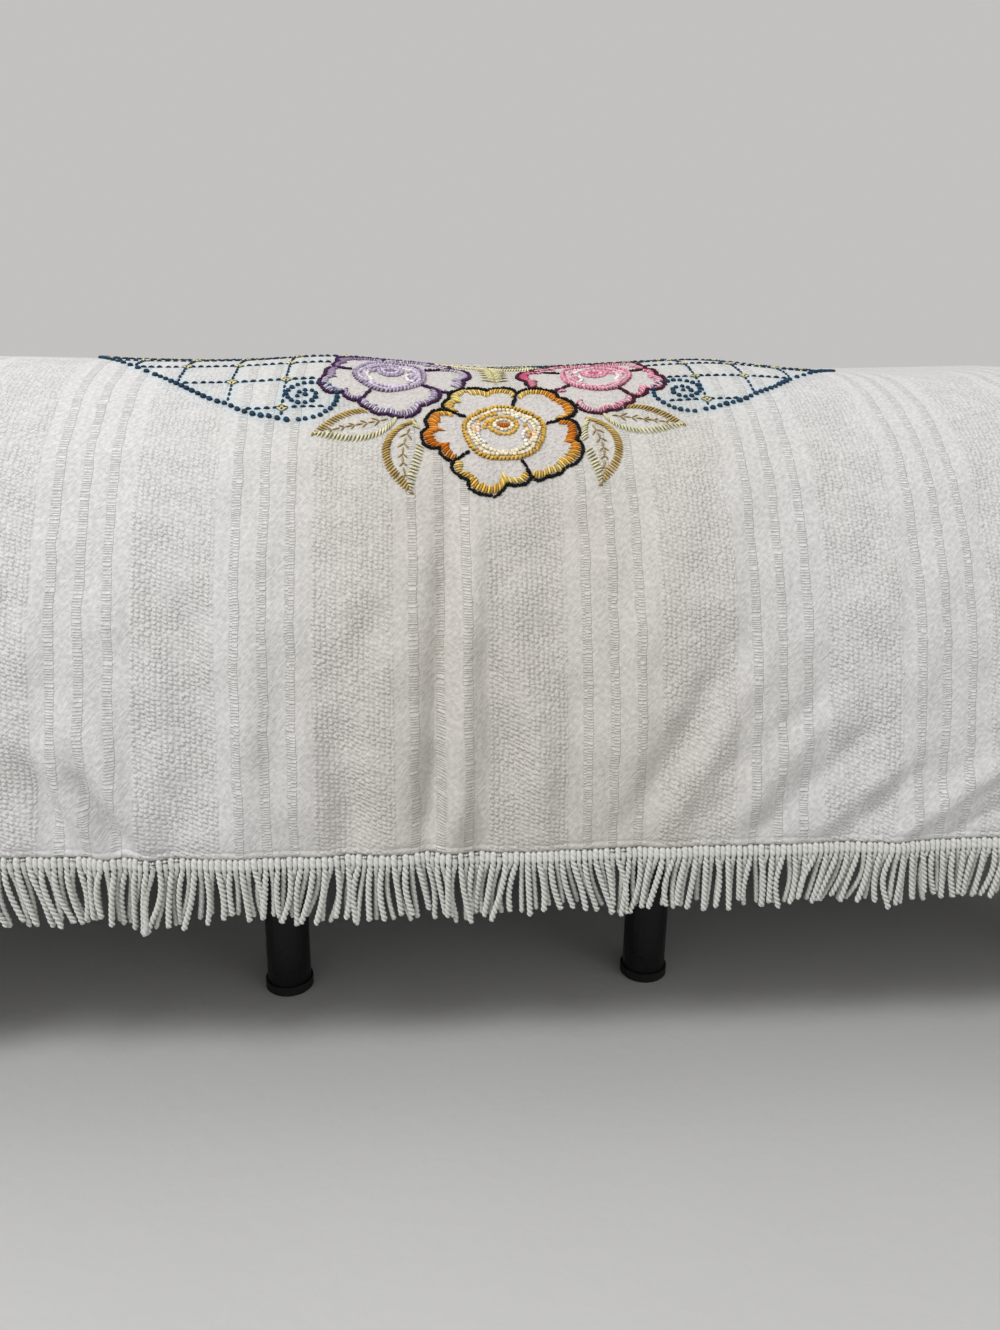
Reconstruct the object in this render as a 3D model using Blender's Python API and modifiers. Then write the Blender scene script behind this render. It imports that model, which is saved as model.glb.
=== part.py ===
"""A woven bedspread with a bullion fringe, draped over the foot and sides of a plain bed on two base boxes.

The foot of the bed is towards -Y, its head towards +Y, and the floor is z = 0. The origin is on the floor
under the middle of the whole object. The spread is worked out from a level line on the bed's top, the crest,
where the cloth begins to roll over the edge. Each drop, corner and fold is placed by its distance down from
the crest.
"""

import math
import random
from collections import namedtuple

import bmesh
import bpy
from mathutils import Vector

OBJECT_NAME = "bedspread_on_bed"

# The bed.
HALF_WIDTH = 0.980  # bed's centre line to the plane in which a side drop hangs
LENGTH = 2.045  # plane in which the foot drop hangs to the mattress's head face
FOOT_FLARE = 0.130  # how far the corner flutes and their fringe stand out past the foot plane
FOOT_Y = (FOOT_FLARE - LENGTH) / 2
HEAD_Y = FOOT_Y + LENGTH
TOP_FALL = 0.035  # the soft top is this much lower at the head than at the foot
TOP_FALL_LENGTH = 1.3

# The cloth's section over an edge, from the crest to the hem.
SheetPoint = namedtuple("SheetPoint", "inset height")  # inset is measured from the hanging plane
SPREAD_SECTION = (
    SheetPoint(0.420, 0.700),
    SheetPoint(0.345, 0.698),
    SheetPoint(0.217, 0.686),
    SheetPoint(0.136, 0.656),
    SheetPoint(0.076, 0.611),
    SheetPoint(0.028, 0.547),
    SheetPoint(-0.016, 0.475),
    SheetPoint(-0.032, 0.394),
    SheetPoint(-0.045, 0.318),
    SheetPoint(-0.057, 0.254),
)
CLOTH_THICKNESS = 0.002
CREST_INSET = SPREAD_SECTION[0].inset
CREST_Z = SPREAD_SECTION[0].height
HEM_Z = SPREAD_SECTION[-1].height
CREST_X = HALF_WIDTH - CREST_INSET
CREST_Y = FOOT_Y + CREST_INSET
CORNER_RADIUS = 0.200  # of the drop's corners, in plan
SPREAD_HEAD_Y = HEAD_Y - 0.120  # the spread ends in a plain hem on the bed's top

# How finely the cloth is divided.
FOOT_COLUMNS = 56
CORNER_COLUMNS = 24
DROP_ROWS = 12
ROW_STEPS = (0.06, 0.14, 0.26, 0.40, 0.56, 0.72, 0.88, 1.02, 1.16, 1.30, 1.42)  # crest to head

# Folds in the foot drop. Each trough (push below 0) or ridge runs from x_top at arc_top to x_low at arc_low,
# where arc is the distance down the cloth from the crest.
Fold = namedtuple("Fold", "x_top arc_top x_low arc_low half_width push")
FOOT_FOLDS = (
    Fold(-0.048, 0.43, -0.057, 0.76, 0.016, -0.009),
    Fold(-0.022, 0.42, -0.027, 0.76, 0.016, 0.007),
    Fold(0.054, 0.46, 0.051, 0.54, 0.018, -0.005),
    Fold(0.072, 0.54, 0.073, 0.64, 0.024, -0.007),
    Fold(0.013, 0.59, 0.037, 0.74, 0.017, -0.006),
    Fold(-0.107, 0.50, -0.108, 0.64, 0.018, -0.005),
    Fold(-0.136, 0.63, -0.138, 0.75, 0.018, -0.005),
    Fold(0.218, 0.56, 0.139, 0.76, 0.020, -0.013),
    Fold(0.264, 0.63, 0.218, 0.75, 0.018, -0.008),
    Fold(0.322, 0.67, 0.254, 0.75, 0.018, -0.007),
    Fold(0.372, 0.65, 0.262, 0.74, 0.018, -0.006),
    Fold(0.524, 0.69, 0.385, 0.75, 0.020, -0.008),
    Fold(0.522, 0.65, 0.405, 0.75, 0.020, 0.007),
    Fold(-0.385, 0.60, -0.330, 0.76, 0.019, -0.012),
    Fold(-0.415, 0.65, -0.372, 0.76, 0.018, 0.008),
    Fold(-0.306, 0.46, -0.277, 0.73, 0.030, -0.008),
    Fold(-0.238, 0.47, -0.240, 0.65, 0.024, 0.005),
)
# Shallow waves in the side drops, at a distance from the crest's foot corner towards the head.
Wave = namedtuple("Wave", "along half_width push")
SIDE_WAVES = (
    Wave(0.22, 0.07, -0.010),
    Wave(0.47, 0.09, 0.014),
    Wave(0.75, 0.10, -0.010),
    Wave(1.05, 0.08, 0.012),
    Wave(1.31, 0.08, -0.008),
)
WAVE_ARC = 0.45  # the side waves begin this far down
# The spare cloth at a rounded corner hangs in flutes. turn is 0 where the corner leaves the foot drop and 1
# where it meets the side drop.
Flute = namedtuple("Flute", "turn half_width push")
CORNER_FLUTES = (
    Flute(0.21, 0.058, 0.072),
    Flute(0.49, 0.062, 0.100),
    Flute(0.78, 0.060, 0.076),
)
FLUTE_ARC = 0.34  # the flutes begin this far down
# The crest is a little higher here and there.
Swell = namedtuple("Swell", "x half_width height")
CREST_SWELLS = (
    Swell(0.12, 0.20, 0.007),
    Swell(0.74, 0.12, 0.004),
    Swell(-0.45, 0.16, 0.0015),
)
SWELL_FADE = 0.32
# The hem rises a little towards the left.
HEM_LIFT = 0.008
HEM_LIFT_FROM_X = -0.22
HEM_LIFT_TO_X = -0.50

# The fringe: a header strip just under the hem, with strands fused to it.
HEADER_HEIGHT = 0.018
HEADER_THICKNESS = 0.003
HEADER_GAP = 0.0008
HEADER_FLARE = 0.002
STRAND_LENGTH = 0.052
STRAND_TIP_SHARE = 0.62
STRAND_LEAN = 0.004
FringeRun = namedtuple("FringeRun", "part lengths strands")  # strands on each length
FRINGE_RUNS = (
    FringeRun("left", 1, 56),
    FringeRun("corner_left", 3, 14),
    FringeRun("foot", 1, 100),
    FringeRun("corner_right", 3, 14),
    FringeRun("right", 1, 56),
)
RUN_GAP = 0.0012  # between the ends of two neighbouring headers

# The mattress under the cloth, from its crest to its underside.
MATTRESS_SECTION = (
    SheetPoint(0.420, 0.6985),
    SheetPoint(0.345, 0.6945),
    SheetPoint(0.217, 0.6790),
    SheetPoint(0.140, 0.6470),
    SheetPoint(0.090, 0.6050),
    SheetPoint(0.050, 0.5470),
    SheetPoint(0.030, 0.4900),
    SheetPoint(0.030, 0.4200),
)
MATTRESS_COLUMNS = 8
MATTRESS_CORNER_COLUMNS = 6
MATTRESS_HEAD_SHARE = 0.20  # the head edge is this share as soft as the others

# The bases, legs and foot caps.
FIT_GAP = 0.0003
BASE_WIDTH = 0.945
BASE_SPLIT = 0.004
BASE_TOP = MATTRESS_SECTION[-1].height - FIT_GAP
BASE_BOTTOM = 0.295
BASE_FOOT_Y = FOOT_Y + 0.045
BASE_HEAD_Y = HEAD_Y - 0.020
BASE_EDGE = 0.006
LEG_RADIUS = 0.025
LEG_XS = (-0.755, -0.211, 0.211, 0.755)
LEG_FOOT_Y = FOOT_Y + 0.115
LEG_HEAD_Y = HEAD_Y - 0.150
CAP_RADIUS = 0.0275
CAP_HEIGHT = 0.012
CAP_FLOOR = 0.0032
CAP_CHAMFER = 0.0015
ROUND_STEPS = 24

Finish = namedtuple("Finish", "color roughness metallic")
FINISHES = {
    "cloth": Finish((0.86, 0.85, 0.82), 0.92, 0.0),
    "fringe": Finish((0.84, 0.85, 0.80), 0.90, 0.0),
    "mattress": Finish((0.80, 0.79, 0.76), 0.90, 0.0),
    "base": Finish((0.09, 0.09, 0.10), 0.85, 0.0),
    "leg": Finish((0.02, 0.02, 0.02), 0.35, 0.0),
    "cap": Finish((0.015, 0.015, 0.016), 0.60, 0.0),
}

# A spoke leads outwards from a point on the crest. side is -1 at the left and 1 at the right, and end is -1
# at the foot and 1 at the head. turn goes from 0, straight off that end, to 1, straight off that side.
Spoke = namedtuple("Spoke", "x y side end turn")


def clear_scene():
    for item in list(bpy.data.objects):
        bpy.data.objects.remove(item, do_unlink=True)


def make_material(name):
    finish = FINISHES[name]
    material = bpy.data.materials.new(name)
    material.use_nodes = True
    shader = material.node_tree.nodes["Principled BSDF"]
    shader.inputs["Base Color"].default_value = (*finish.color, 1.0)
    shader.inputs["Roughness"].default_value = finish.roughness
    shader.inputs["Metallic"].default_value = finish.metallic
    return material


def object_from_bmesh(shape, name, collection, material):
    mesh = bpy.data.meshes.new(name)
    shape.to_mesh(mesh)
    shape.free()
    item = bpy.data.objects.new(name, mesh)
    item.data.materials.append(material)
    collection.objects.link(item)
    return item


def ease(share):
    share = min(max(share, 0.0), 1.0)
    return share * share * (3.0 - 2.0 * share)


def bell(distance, half_width):
    return math.exp(-0.5 * (distance / half_width) ** 2)


def top_height(y, crest_z):
    return crest_z - TOP_FALL * ease((y - CREST_Y) / TOP_FALL_LENGTH)


def smooth_section(knots, steps=16):
    """Points of a smooth curve through a section's knots."""
    points = []
    last = len(knots) - 1
    for i in range(last):
        before, start, end, after = (Vector(knots[j]) for j in (max(i - 1, 0), i, i + 1, min(i + 2, last)))
        for step in range(steps):
            t = step / steps
            slope = (end - before) * t
            bend = (2 * before - 5 * start + 4 * end - after) * t**2
            close = (3 * start - before - 3 * end + after) * t**3
            points.append(start + 0.5 * (slope + bend + close))
    points.append(Vector(knots[last]))
    return points


def point_along(points, distance):
    """The point at a distance along a polyline."""
    for start, end in zip(points, points[1:]):
        step = (end - start).length
        if distance <= step:
            return start.lerp(end, distance / step)
        distance -= step
    return points[-1].copy()


def length_of(points):
    return sum((b - a).length for a, b in zip(points, points[1:]))


SPREAD_CURVE = smooth_section(SPREAD_SECTION)
HEM_ARC = length_of(SPREAD_CURVE)


def rounded_corner(reach, turn):
    """Plan offset (across, along) of a rounded corner that has come out by reach, and its outward way."""
    radius = min(reach, CORNER_RADIUS)
    straight = reach - radius
    quarter = radius * math.pi / 2
    walked = turn * (2 * straight + quarter)
    if walked <= straight:
        return (walked, reach), (0.0, 1.0)
    if walked < straight + quarter:
        angle = (walked - straight) / radius
        outward = (math.sin(angle), math.cos(angle))
        return (straight + radius * outward[0], straight + radius * outward[1]), outward
    return (reach, 2 * straight + quarter - walked), (1.0, 0.0)


def fold_push(spoke, arc):
    """How far the foot drop's folds move the cloth outwards."""
    push = 0.0
    for fold in FOOT_FOLDS:
        share = (arc - fold.arc_top) / (fold.arc_low - fold.arc_top)
        x = fold.x_top + (fold.x_low - fold.x_top) * share
        lead_in = ease((share + 0.35) / 0.6)
        run_out = ease((1.35 - share) / 0.5)
        push += fold.push * bell(spoke.x - x, fold.half_width) * lead_in * run_out
    return push


def wave_push(spoke, arc):
    down = ease((arc - WAVE_ARC) / (HEM_ARC - WAVE_ARC))
    along = spoke.y - CREST_Y
    return down * sum(wave.push * bell(along - wave.along, wave.half_width) for wave in SIDE_WAVES)


def flute_push(spoke, arc):
    down = ease((arc - FLUTE_ARC) / (HEM_ARC - FLUTE_ARC))
    return down * sum(flute.push * bell(spoke.turn - flute.turn, flute.half_width) for flute in CORNER_FLUTES)


def swell_at(x, from_crest):
    fade = ease(1.0 - from_crest / SWELL_FADE)
    return fade * sum(swell.height * bell(x - swell.x, swell.half_width) for swell in CREST_SWELLS)


def spread_outward(spoke):
    outward = rounded_corner(CREST_INSET - SPREAD_SECTION[-1].inset, spoke.turn)[1]
    return Vector((spoke.side * outward[0], spoke.end * outward[1], 0.0))


def spread_point(spoke, arc):
    """The middle of the cloth, at a distance down a spoke from the crest."""
    lift = HEM_LIFT * ease((HEM_LIFT_FROM_X - spoke.x) / (HEM_LIFT_FROM_X - HEM_LIFT_TO_X))
    if spoke.side < 0:
        lift = HEM_LIFT * ease(1.0 - (spoke.y - CREST_Y) / 0.5)
    section = point_along(SPREAD_CURVE, arc * (1.0 - lift / HEM_ARC))
    offset, outward = rounded_corner(CREST_INSET - section.x, spoke.turn)
    high = (top_height(spoke.y, CREST_Z) - HEM_Z) / (CREST_Z - HEM_Z)
    place = Vector((spoke.x + spoke.side * offset[0], spoke.y + spoke.end * offset[1], 0.0))
    place.z = HEM_Z + (section.y - HEM_Z) * high
    if spoke.turn == 0.0:
        push = fold_push(spoke, arc)
    elif spoke.turn == 1.0:
        push = wave_push(spoke, arc)
    else:
        push = flute_push(spoke, arc)
    place += push * Vector((spoke.side * outward[0], spoke.end * outward[1], 0.0))
    place.z += swell_at(place.x, arc + abs(spoke.y - CREST_Y))
    return place


def spread_top_point(x, y):
    return Vector((x, y, top_height(y, CREST_Z) + swell_at(x, y - CREST_Y)))


def spread_spokes(xs, ys):
    """Spokes round the crest by part, from the head down the left, along the foot and up the right."""
    turns = [i / CORNER_COLUMNS for i in range(CORNER_COLUMNS + 1)]
    return {
        "left": [Spoke(-CREST_X, y, -1, -1, 1.0) for y in reversed(ys)],
        "corner_left": [Spoke(-CREST_X, CREST_Y, -1, -1, turn) for turn in reversed(turns)],
        "foot": [Spoke(x, CREST_Y, 1, -1, 0.0) for x in xs],
        "corner_right": [Spoke(CREST_X, CREST_Y, 1, -1, turn) for turn in turns],
        "right": [Spoke(CREST_X, y, 1, -1, 1.0) for y in ys],
    }


def spread_over(shape, xs, ys, spokes, arcs, place_top, place_drop, closed=False):
    """Faces over a top grid and down every spoke round it. Returns the vertices down each spoke."""
    top = [[shape.verts.new(place_top(x, y)) for x in xs] for y in ys]
    for j in range(len(ys) - 1):
        for i in range(len(xs) - 1):
            shape.faces.new((top[j][i], top[j][i + 1], top[j + 1][i + 1], top[j + 1][i]))
    columns = []
    for spoke in spokes:
        i = min(range(len(xs)), key=lambda n: abs(xs[n] - spoke.x))
        j = min(range(len(ys)), key=lambda n: abs(ys[n] - spoke.y))
        columns.append([top[j][i]] + [shape.verts.new(place_drop(spoke, arc)) for arc in arcs])
    neighbours = columns[1:] + columns[:1] if closed else columns[1:]
    for left, right in zip(columns, neighbours):
        for k in range(len(arcs)):
            corners = [left[k], left[k + 1], right[k + 1], right[k]]
            if left[k] is right[k]:
                corners.pop()
            shape.faces.new(corners)
    return columns


def without_repeats(parts):
    """The spokes of all parts in one run; a part's last spoke is the next part's first."""
    run = []
    for part in parts:
        run += [spoke for spoke in part if not run or spoke[:2] + spoke[4:] != run[-1][:2] + run[-1][4:]]
    return run


def even_steps(low, high, count):
    return [low + (high - low) * i / count for i in range(count + 1)]


def row_stations(end_y):
    return [CREST_Y] + [CREST_Y + step for step in ROW_STEPS] + [end_y]


def make_bedspread(collection, material):
    xs = even_steps(-CREST_X, CREST_X, FOOT_COLUMNS)
    ys = row_stations(SPREAD_HEAD_Y)
    arcs = even_steps(0.0, HEM_ARC, DROP_ROWS)[1:]
    spokes = without_repeats(spread_spokes(xs, ys).values())
    shape = bmesh.new()
    spread_over(shape, xs, ys, spokes, arcs, spread_top_point, spread_point)
    spread = object_from_bmesh(shape, "bedspread", collection, material)
    thicken = spread.modifiers.new("Thickness", "SOLIDIFY")
    thicken.thickness = CLOTH_THICKNESS
    thicken.offset = 0.0
    return spread


def make_mattress(collection, material):
    crest_inset = MATTRESS_SECTION[0].inset
    crest_z = MATTRESS_SECTION[0].height
    low_z = MATTRESS_SECTION[-1].height
    head_crest_y = HEAD_Y - crest_inset * MATTRESS_HEAD_SHARE
    xs = even_steps(-CREST_X, CREST_X, MATTRESS_COLUMNS)
    ys = row_stations(head_crest_y)
    turns = even_steps(0.0, 1.0, MATTRESS_CORNER_COLUMNS)
    parts = [
        [Spoke(-CREST_X, y, -1, -1, 1.0) for y in reversed(ys)],
        [Spoke(-CREST_X, CREST_Y, -1, -1, turn) for turn in reversed(turns)],
        [Spoke(x, CREST_Y, 1, -1, 0.0) for x in xs],
        [Spoke(CREST_X, CREST_Y, 1, -1, turn) for turn in turns],
        [Spoke(CREST_X, y, 1, -1, 1.0) for y in ys],
        [Spoke(CREST_X, head_crest_y, 1, 1, turn) for turn in reversed(turns)],
        [Spoke(x, head_crest_y, 1, 1, 0.0) for x in reversed(xs)],
        [Spoke(-CREST_X, head_crest_y, -1, 1, turn) for turn in turns[:-1]],
    ]

    def place_drop(spoke, knot):
        offset = rounded_corner(crest_inset - knot.inset, spoke.turn)[0]
        softness = MATTRESS_HEAD_SHARE if spoke.end > 0 else 1.0
        high = (top_height(spoke.y, crest_z) - low_z) / (crest_z - low_z)
        return Vector((
            spoke.x + spoke.side * offset[0],
            spoke.y + spoke.end * offset[1] * softness,
            low_z + (knot.height - low_z) * high,
        ))

    shape = bmesh.new()
    columns = spread_over(
        shape, xs, ys, without_repeats(parts), MATTRESS_SECTION[1:],
        lambda x, y: Vector((x, y, top_height(y, crest_z))), place_drop, closed=True,
    )
    shape.faces.new([column[-1] for column in reversed(columns)])
    return object_from_bmesh(shape, "mattress", collection, material)


def hem_line(spokes):
    """Points along the hem, and the cloth's outward direction at each."""
    points = [spread_point(spoke, HEM_ARC) for spoke in spokes]
    ways = []
    for i in range(len(points)):
        run = points[min(i + 1, len(points) - 1)] - points[max(i - 1, 0)]
        ways.append(Vector((run.y, -run.x, 0.0)).normalized())
    return points, ways


def even_stations(points, ways, count):
    """Evenly spaced points along a length of the hem, each with its outward direction."""
    total = length_of(points)
    stations = []
    for n in range(count + 1):
        distance = RUN_GAP / 2 + (total - RUN_GAP) * n / count
        i = 0
        while i < len(points) - 2 and distance > (points[i + 1] - points[i]).length:
            distance -= (points[i + 1] - points[i]).length
            i += 1
        share = distance / (points[i + 1] - points[i]).length
        stations.append((points[i].lerp(points[i + 1], share), ways[i].lerp(ways[i + 1], share).normalized()))
    return stations


def make_fringe(name, stations, chance, collection, material):
    """A header strip with three-sided strands that stand apart below it."""
    shape = bmesh.new()
    sections = []
    half = HEADER_THICKNESS / 2
    for point, outward in stations:
        top = point - Vector((0.0, 0.0, HEADER_GAP))
        low = top + HEADER_FLARE * outward - Vector((0.0, 0.0, HEADER_HEIGHT))
        corners = (top - half * outward, top + half * outward, low + half * outward, low - half * outward)
        sections.append([shape.verts.new(corner) for corner in corners])
    for here, there in zip(sections, sections[1:]):
        in_top, out_top, out_low, in_low = here
        next_in_top, next_out_top, next_out_low, next_in_low = there
        shape.faces.new((in_top, out_top, next_out_top, next_in_top))
        shape.faces.new((out_top, out_low, next_out_low, next_out_top))
        shape.faces.new((in_low, in_top, next_in_top, next_in_low))
        shape.faces.new((next_out_low, in_low, next_in_low))
        root = shape.faces.new((out_low, in_low, next_out_low))
        tip = bmesh.ops.extrude_discrete_faces(shape, faces=[root])["faces"][0]
        centre = tip.calc_center_median()
        along = next_out_low.co - out_low.co
        hang = STRAND_LENGTH * chance.uniform(0.86, 1.06)
        lean = along.normalized() * chance.uniform(-STRAND_LEAN, STRAND_LEAN)
        for vertex in tip.verts:
            vertex.co = centre + (vertex.co - centre) * STRAND_TIP_SHARE + lean - Vector((0.0, 0.0, hang))
    shape.faces.new(sections[0])
    shape.faces.new(list(reversed(sections[-1])))
    bmesh.ops.recalc_face_normals(shape, faces=shape.faces[:])
    return object_from_bmesh(shape, name, collection, material)


def make_fringe_run(run, spokes, chance, collection, material):
    """The fringe of one part of the hem, in one length or several."""
    points, ways = hem_line(spokes)
    columns = len(points) - 1
    for n in range(run.lengths):
        name = f"fringe_{run.part}" if run.lengths == 1 else f"fringe_{run.part}_{n + 1}"
        span = slice(n * columns // run.lengths, (n + 1) * columns // run.lengths + 1)
        stations = even_stations(points[span], ways[span], run.strands)
        make_fringe(name, stations, chance, collection, material)


def make_base(name, side, collection, material):
    shape = bmesh.new()
    bmesh.ops.create_cube(shape, size=1.0)
    bmesh.ops.scale(
        shape, vec=(BASE_WIDTH, BASE_HEAD_Y - BASE_FOOT_Y, BASE_TOP - BASE_BOTTOM), verts=shape.verts[:]
    )
    base = object_from_bmesh(shape, name, collection, material)
    base.location = (
        side * (BASE_SPLIT + BASE_WIDTH) / 2,
        (BASE_HEAD_Y + BASE_FOOT_Y) / 2,
        (BASE_TOP + BASE_BOTTOM) / 2,
    )
    edges = base.modifiers.new("Edges", "BEVEL")
    edges.width = BASE_EDGE
    edges.segments = 2
    return base


def make_leg(name, x, y, collection, material):
    bottom = CAP_FLOOR + FIT_GAP
    top = BASE_BOTTOM - FIT_GAP
    shape = bmesh.new()
    bmesh.ops.create_cone(
        shape, cap_ends=True, segments=ROUND_STEPS, radius1=LEG_RADIUS, radius2=LEG_RADIUS, depth=top - bottom
    )
    leg = object_from_bmesh(shape, name, collection, material)
    leg.location = (x, y, (top + bottom) / 2)
    leg.data.shade_smooth()
    leg.data.set_sharp_from_angle(angle=math.radians(40))
    return leg


def make_cap(name, x, y, collection, material):
    """A foot cap: a shallow cup that the leg stands in, turned from its profile."""
    hole = LEG_RADIUS + FIT_GAP
    profile = (
        (0.0, CAP_FLOOR),
        (hole, CAP_FLOOR),
        (hole, CAP_HEIGHT),
        (CAP_RADIUS, CAP_HEIGHT),
        (CAP_RADIUS, CAP_CHAMFER),
        (CAP_RADIUS - CAP_CHAMFER, 0.0),
        (0.0, 0.0),
    )
    shape = bmesh.new()
    ring = [shape.verts.new((radius, 0.0, height)) for radius, height in profile]
    for start, end in zip(ring, ring[1:]):
        shape.edges.new((start, end))
    cap = object_from_bmesh(shape, name, collection, material)
    cap.location = (x, y, 0.0)
    turn = cap.modifiers.new("Turn", "SCREW")
    turn.axis = "Z"
    turn.steps = ROUND_STEPS
    turn.render_steps = ROUND_STEPS
    turn.use_merge_vertices = True
    turn.merge_threshold = 0.0001
    return cap


def main():
    clear_scene()
    collection = bpy.data.collections.new(OBJECT_NAME)
    bpy.context.scene.collection.children.link(collection)
    materials = {name: make_material(name) for name in FINISHES}
    chance = random.Random(11)

    make_bedspread(collection, materials["cloth"])
    spokes = spread_spokes(even_steps(-CREST_X, CREST_X, FOOT_COLUMNS), row_stations(SPREAD_HEAD_Y))
    for run in FRINGE_RUNS:
        make_fringe_run(run, spokes[run.part], chance, collection, materials["fringe"])
    make_mattress(collection, materials["mattress"])
    for name, side in (("base_left", -1), ("base_right", 1)):
        make_base(name, side, collection, materials["base"])
    for row, y in (("foot", LEG_FOOT_Y), ("head", LEG_HEAD_Y)):
        for number, x in enumerate(LEG_XS, start=1):
            make_leg(f"leg_{row}_{number}", x, y, collection, materials["leg"])
            make_cap(f"cap_{row}_{number}", x, y, collection, materials["cap"])


main()
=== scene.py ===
"""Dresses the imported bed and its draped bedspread.

Lengths are metres. The foot of the bed is towards -Y and the floor is z = 0. A place on the cloth is given
flat, by u across it and v along it. On the bed's top u and v are X and Y, and past the crest, the line where
the cloth begins to roll over an edge, they carry on down the drop.
"""

import math
from collections import namedtuple
from functools import partialmethod

import bpy
import numpy as np
from mathutils import Matrix, Vector


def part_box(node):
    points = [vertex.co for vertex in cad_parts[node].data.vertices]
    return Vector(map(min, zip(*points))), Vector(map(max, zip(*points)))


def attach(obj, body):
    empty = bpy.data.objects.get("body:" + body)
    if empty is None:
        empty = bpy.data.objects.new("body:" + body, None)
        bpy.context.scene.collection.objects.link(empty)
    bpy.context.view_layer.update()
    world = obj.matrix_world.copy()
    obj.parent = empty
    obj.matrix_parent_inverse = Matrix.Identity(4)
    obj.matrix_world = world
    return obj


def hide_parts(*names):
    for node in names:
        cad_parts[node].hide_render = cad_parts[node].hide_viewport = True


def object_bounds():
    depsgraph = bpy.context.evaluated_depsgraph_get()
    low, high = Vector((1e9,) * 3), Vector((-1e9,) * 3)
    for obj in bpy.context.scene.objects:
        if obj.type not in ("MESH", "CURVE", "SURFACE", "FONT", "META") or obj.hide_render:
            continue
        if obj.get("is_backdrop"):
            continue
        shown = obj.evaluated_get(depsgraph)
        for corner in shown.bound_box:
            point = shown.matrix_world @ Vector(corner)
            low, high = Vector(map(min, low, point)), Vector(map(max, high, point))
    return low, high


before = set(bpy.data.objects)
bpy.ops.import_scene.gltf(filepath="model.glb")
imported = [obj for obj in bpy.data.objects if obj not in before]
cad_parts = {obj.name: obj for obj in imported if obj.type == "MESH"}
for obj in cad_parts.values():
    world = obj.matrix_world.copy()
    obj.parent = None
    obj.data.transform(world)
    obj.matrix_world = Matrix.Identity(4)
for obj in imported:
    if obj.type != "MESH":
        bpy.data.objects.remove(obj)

CAD_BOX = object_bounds()
MATTRESS_LOW, MATTRESS_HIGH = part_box("mattress")
TURN = 2 * math.pi

# The bed, from the frame.
SIDE_INSET = 0.03  # the mattress's sides stand this far inside the planes in which the drops hang
HEAD_SHARE = 0.2  # the head edge is this share as soft as the others
HALF_WIDTH = MATTRESS_HIGH.x + SIDE_INSET
FOOT_Y = MATTRESS_LOW.y - SIDE_INSET
HEAD_Y = MATTRESS_HIGH.y + SIDE_INSET * HEAD_SHARE
TOP_FALL = 0.035  # how far the top falls from the foot's crest towards the head
TOP_FALL_LENGTH = 1.3
TOP_FALL_POWER = 1.25

# The cloth's section over an edge, from crest to hem: how far in from the hanging plane, and how high.
SPREAD_SECTION = (
    (0.42, 0.699), (0.345, 0.7008), (0.29, 0.7005), (0.242, 0.696), (0.189, 0.682), (0.136, 0.657),
    (0.076, 0.611), (0.028, 0.547), (-0.01, 0.475), (-0.035, 0.394), (-0.049, 0.318), (-0.055, 0.254),
)
CLOTH_THICKNESS = 0.0018
CREST_INSET, CREST_Z = SPREAD_SECTION[0]
HEM_Z = SPREAD_SECTION[-1][1]
CREST_X = HALF_WIDTH - CREST_INSET
CREST_Y = FOOT_Y + CREST_INSET
CORNER_RADIUS = 0.2
SPREAD_HEAD_Y = HEAD_Y - 0.12

# Folds in the foot drop, as in the frame but with sharper creases. Each trough (height below 0) or ridge is x
# and arc at its top, x and arc at its foot, half width and height. arc runs down the cloth from the crest.
FOOT_FOLDS = (
    (-0.424, 0.668, -0.386, 0.75, 0.012, -0.012), (-0.396, 0.662, -0.354, 0.75, 0.01, 0.0135),
    (-0.382, 0.675, -0.337, 0.752, 0.01, -0.02), (-0.366, 0.64, -0.316, 0.745, 0.011, 0.01),
    (-0.284, 0.5, -0.25, 0.69, 0.022, -0.0105), (-0.222, 0.46, -0.225, 0.72, 0.016, 0.0045),
    (-0.166, 0.635, -0.158, 0.75, 0.011, 0.0065), (-0.14, 0.6, -0.118, 0.75, 0.012, -0.0085),
    (-0.092, 0.52, -0.15, 0.605, 0.017, -0.0036),
    # the main trough below the orange flower, with its ridge
    (-0.028, 0.43, -0.05, 0.75, 0.0105, -0.0165), (-0.005, 0.43, -0.027, 0.75, 0.0115, 0.0115),
    (-0.002, 0.545, 0.03, 0.68, 0.011, -0.0065), (0.05, 0.59, 0.063, 0.75, 0.012, 0.0065),
    (0.068, 0.44, 0.084, 0.61, 0.018, -0.0085),
    # the creases that fan out to the right
    (0.2, 0.41, 0.16, 0.68, 0.026, 0.0075), (0.246, 0.564, 0.14, 0.735, 0.014, -0.008),
    (0.266, 0.59, 0.19, 0.72, 0.011, 0.0045), (0.336, 0.605, 0.244, 0.68, 0.012, -0.004),
    (0.344, 0.623, 0.246, 0.735, 0.011, 0.0045), (0.384, 0.644, 0.272, 0.748, 0.012, -0.006),
    (0.406, 0.679, 0.326, 0.75, 0.011, 0.0045), (0.44, 0.679, 0.372, 0.748, 0.012, -0.0055),
    (0.532, 0.667, 0.418, 0.752, 0.013, 0.0085), (0.536, 0.716, 0.462, 0.76, 0.011, -0.0065),
)
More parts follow.
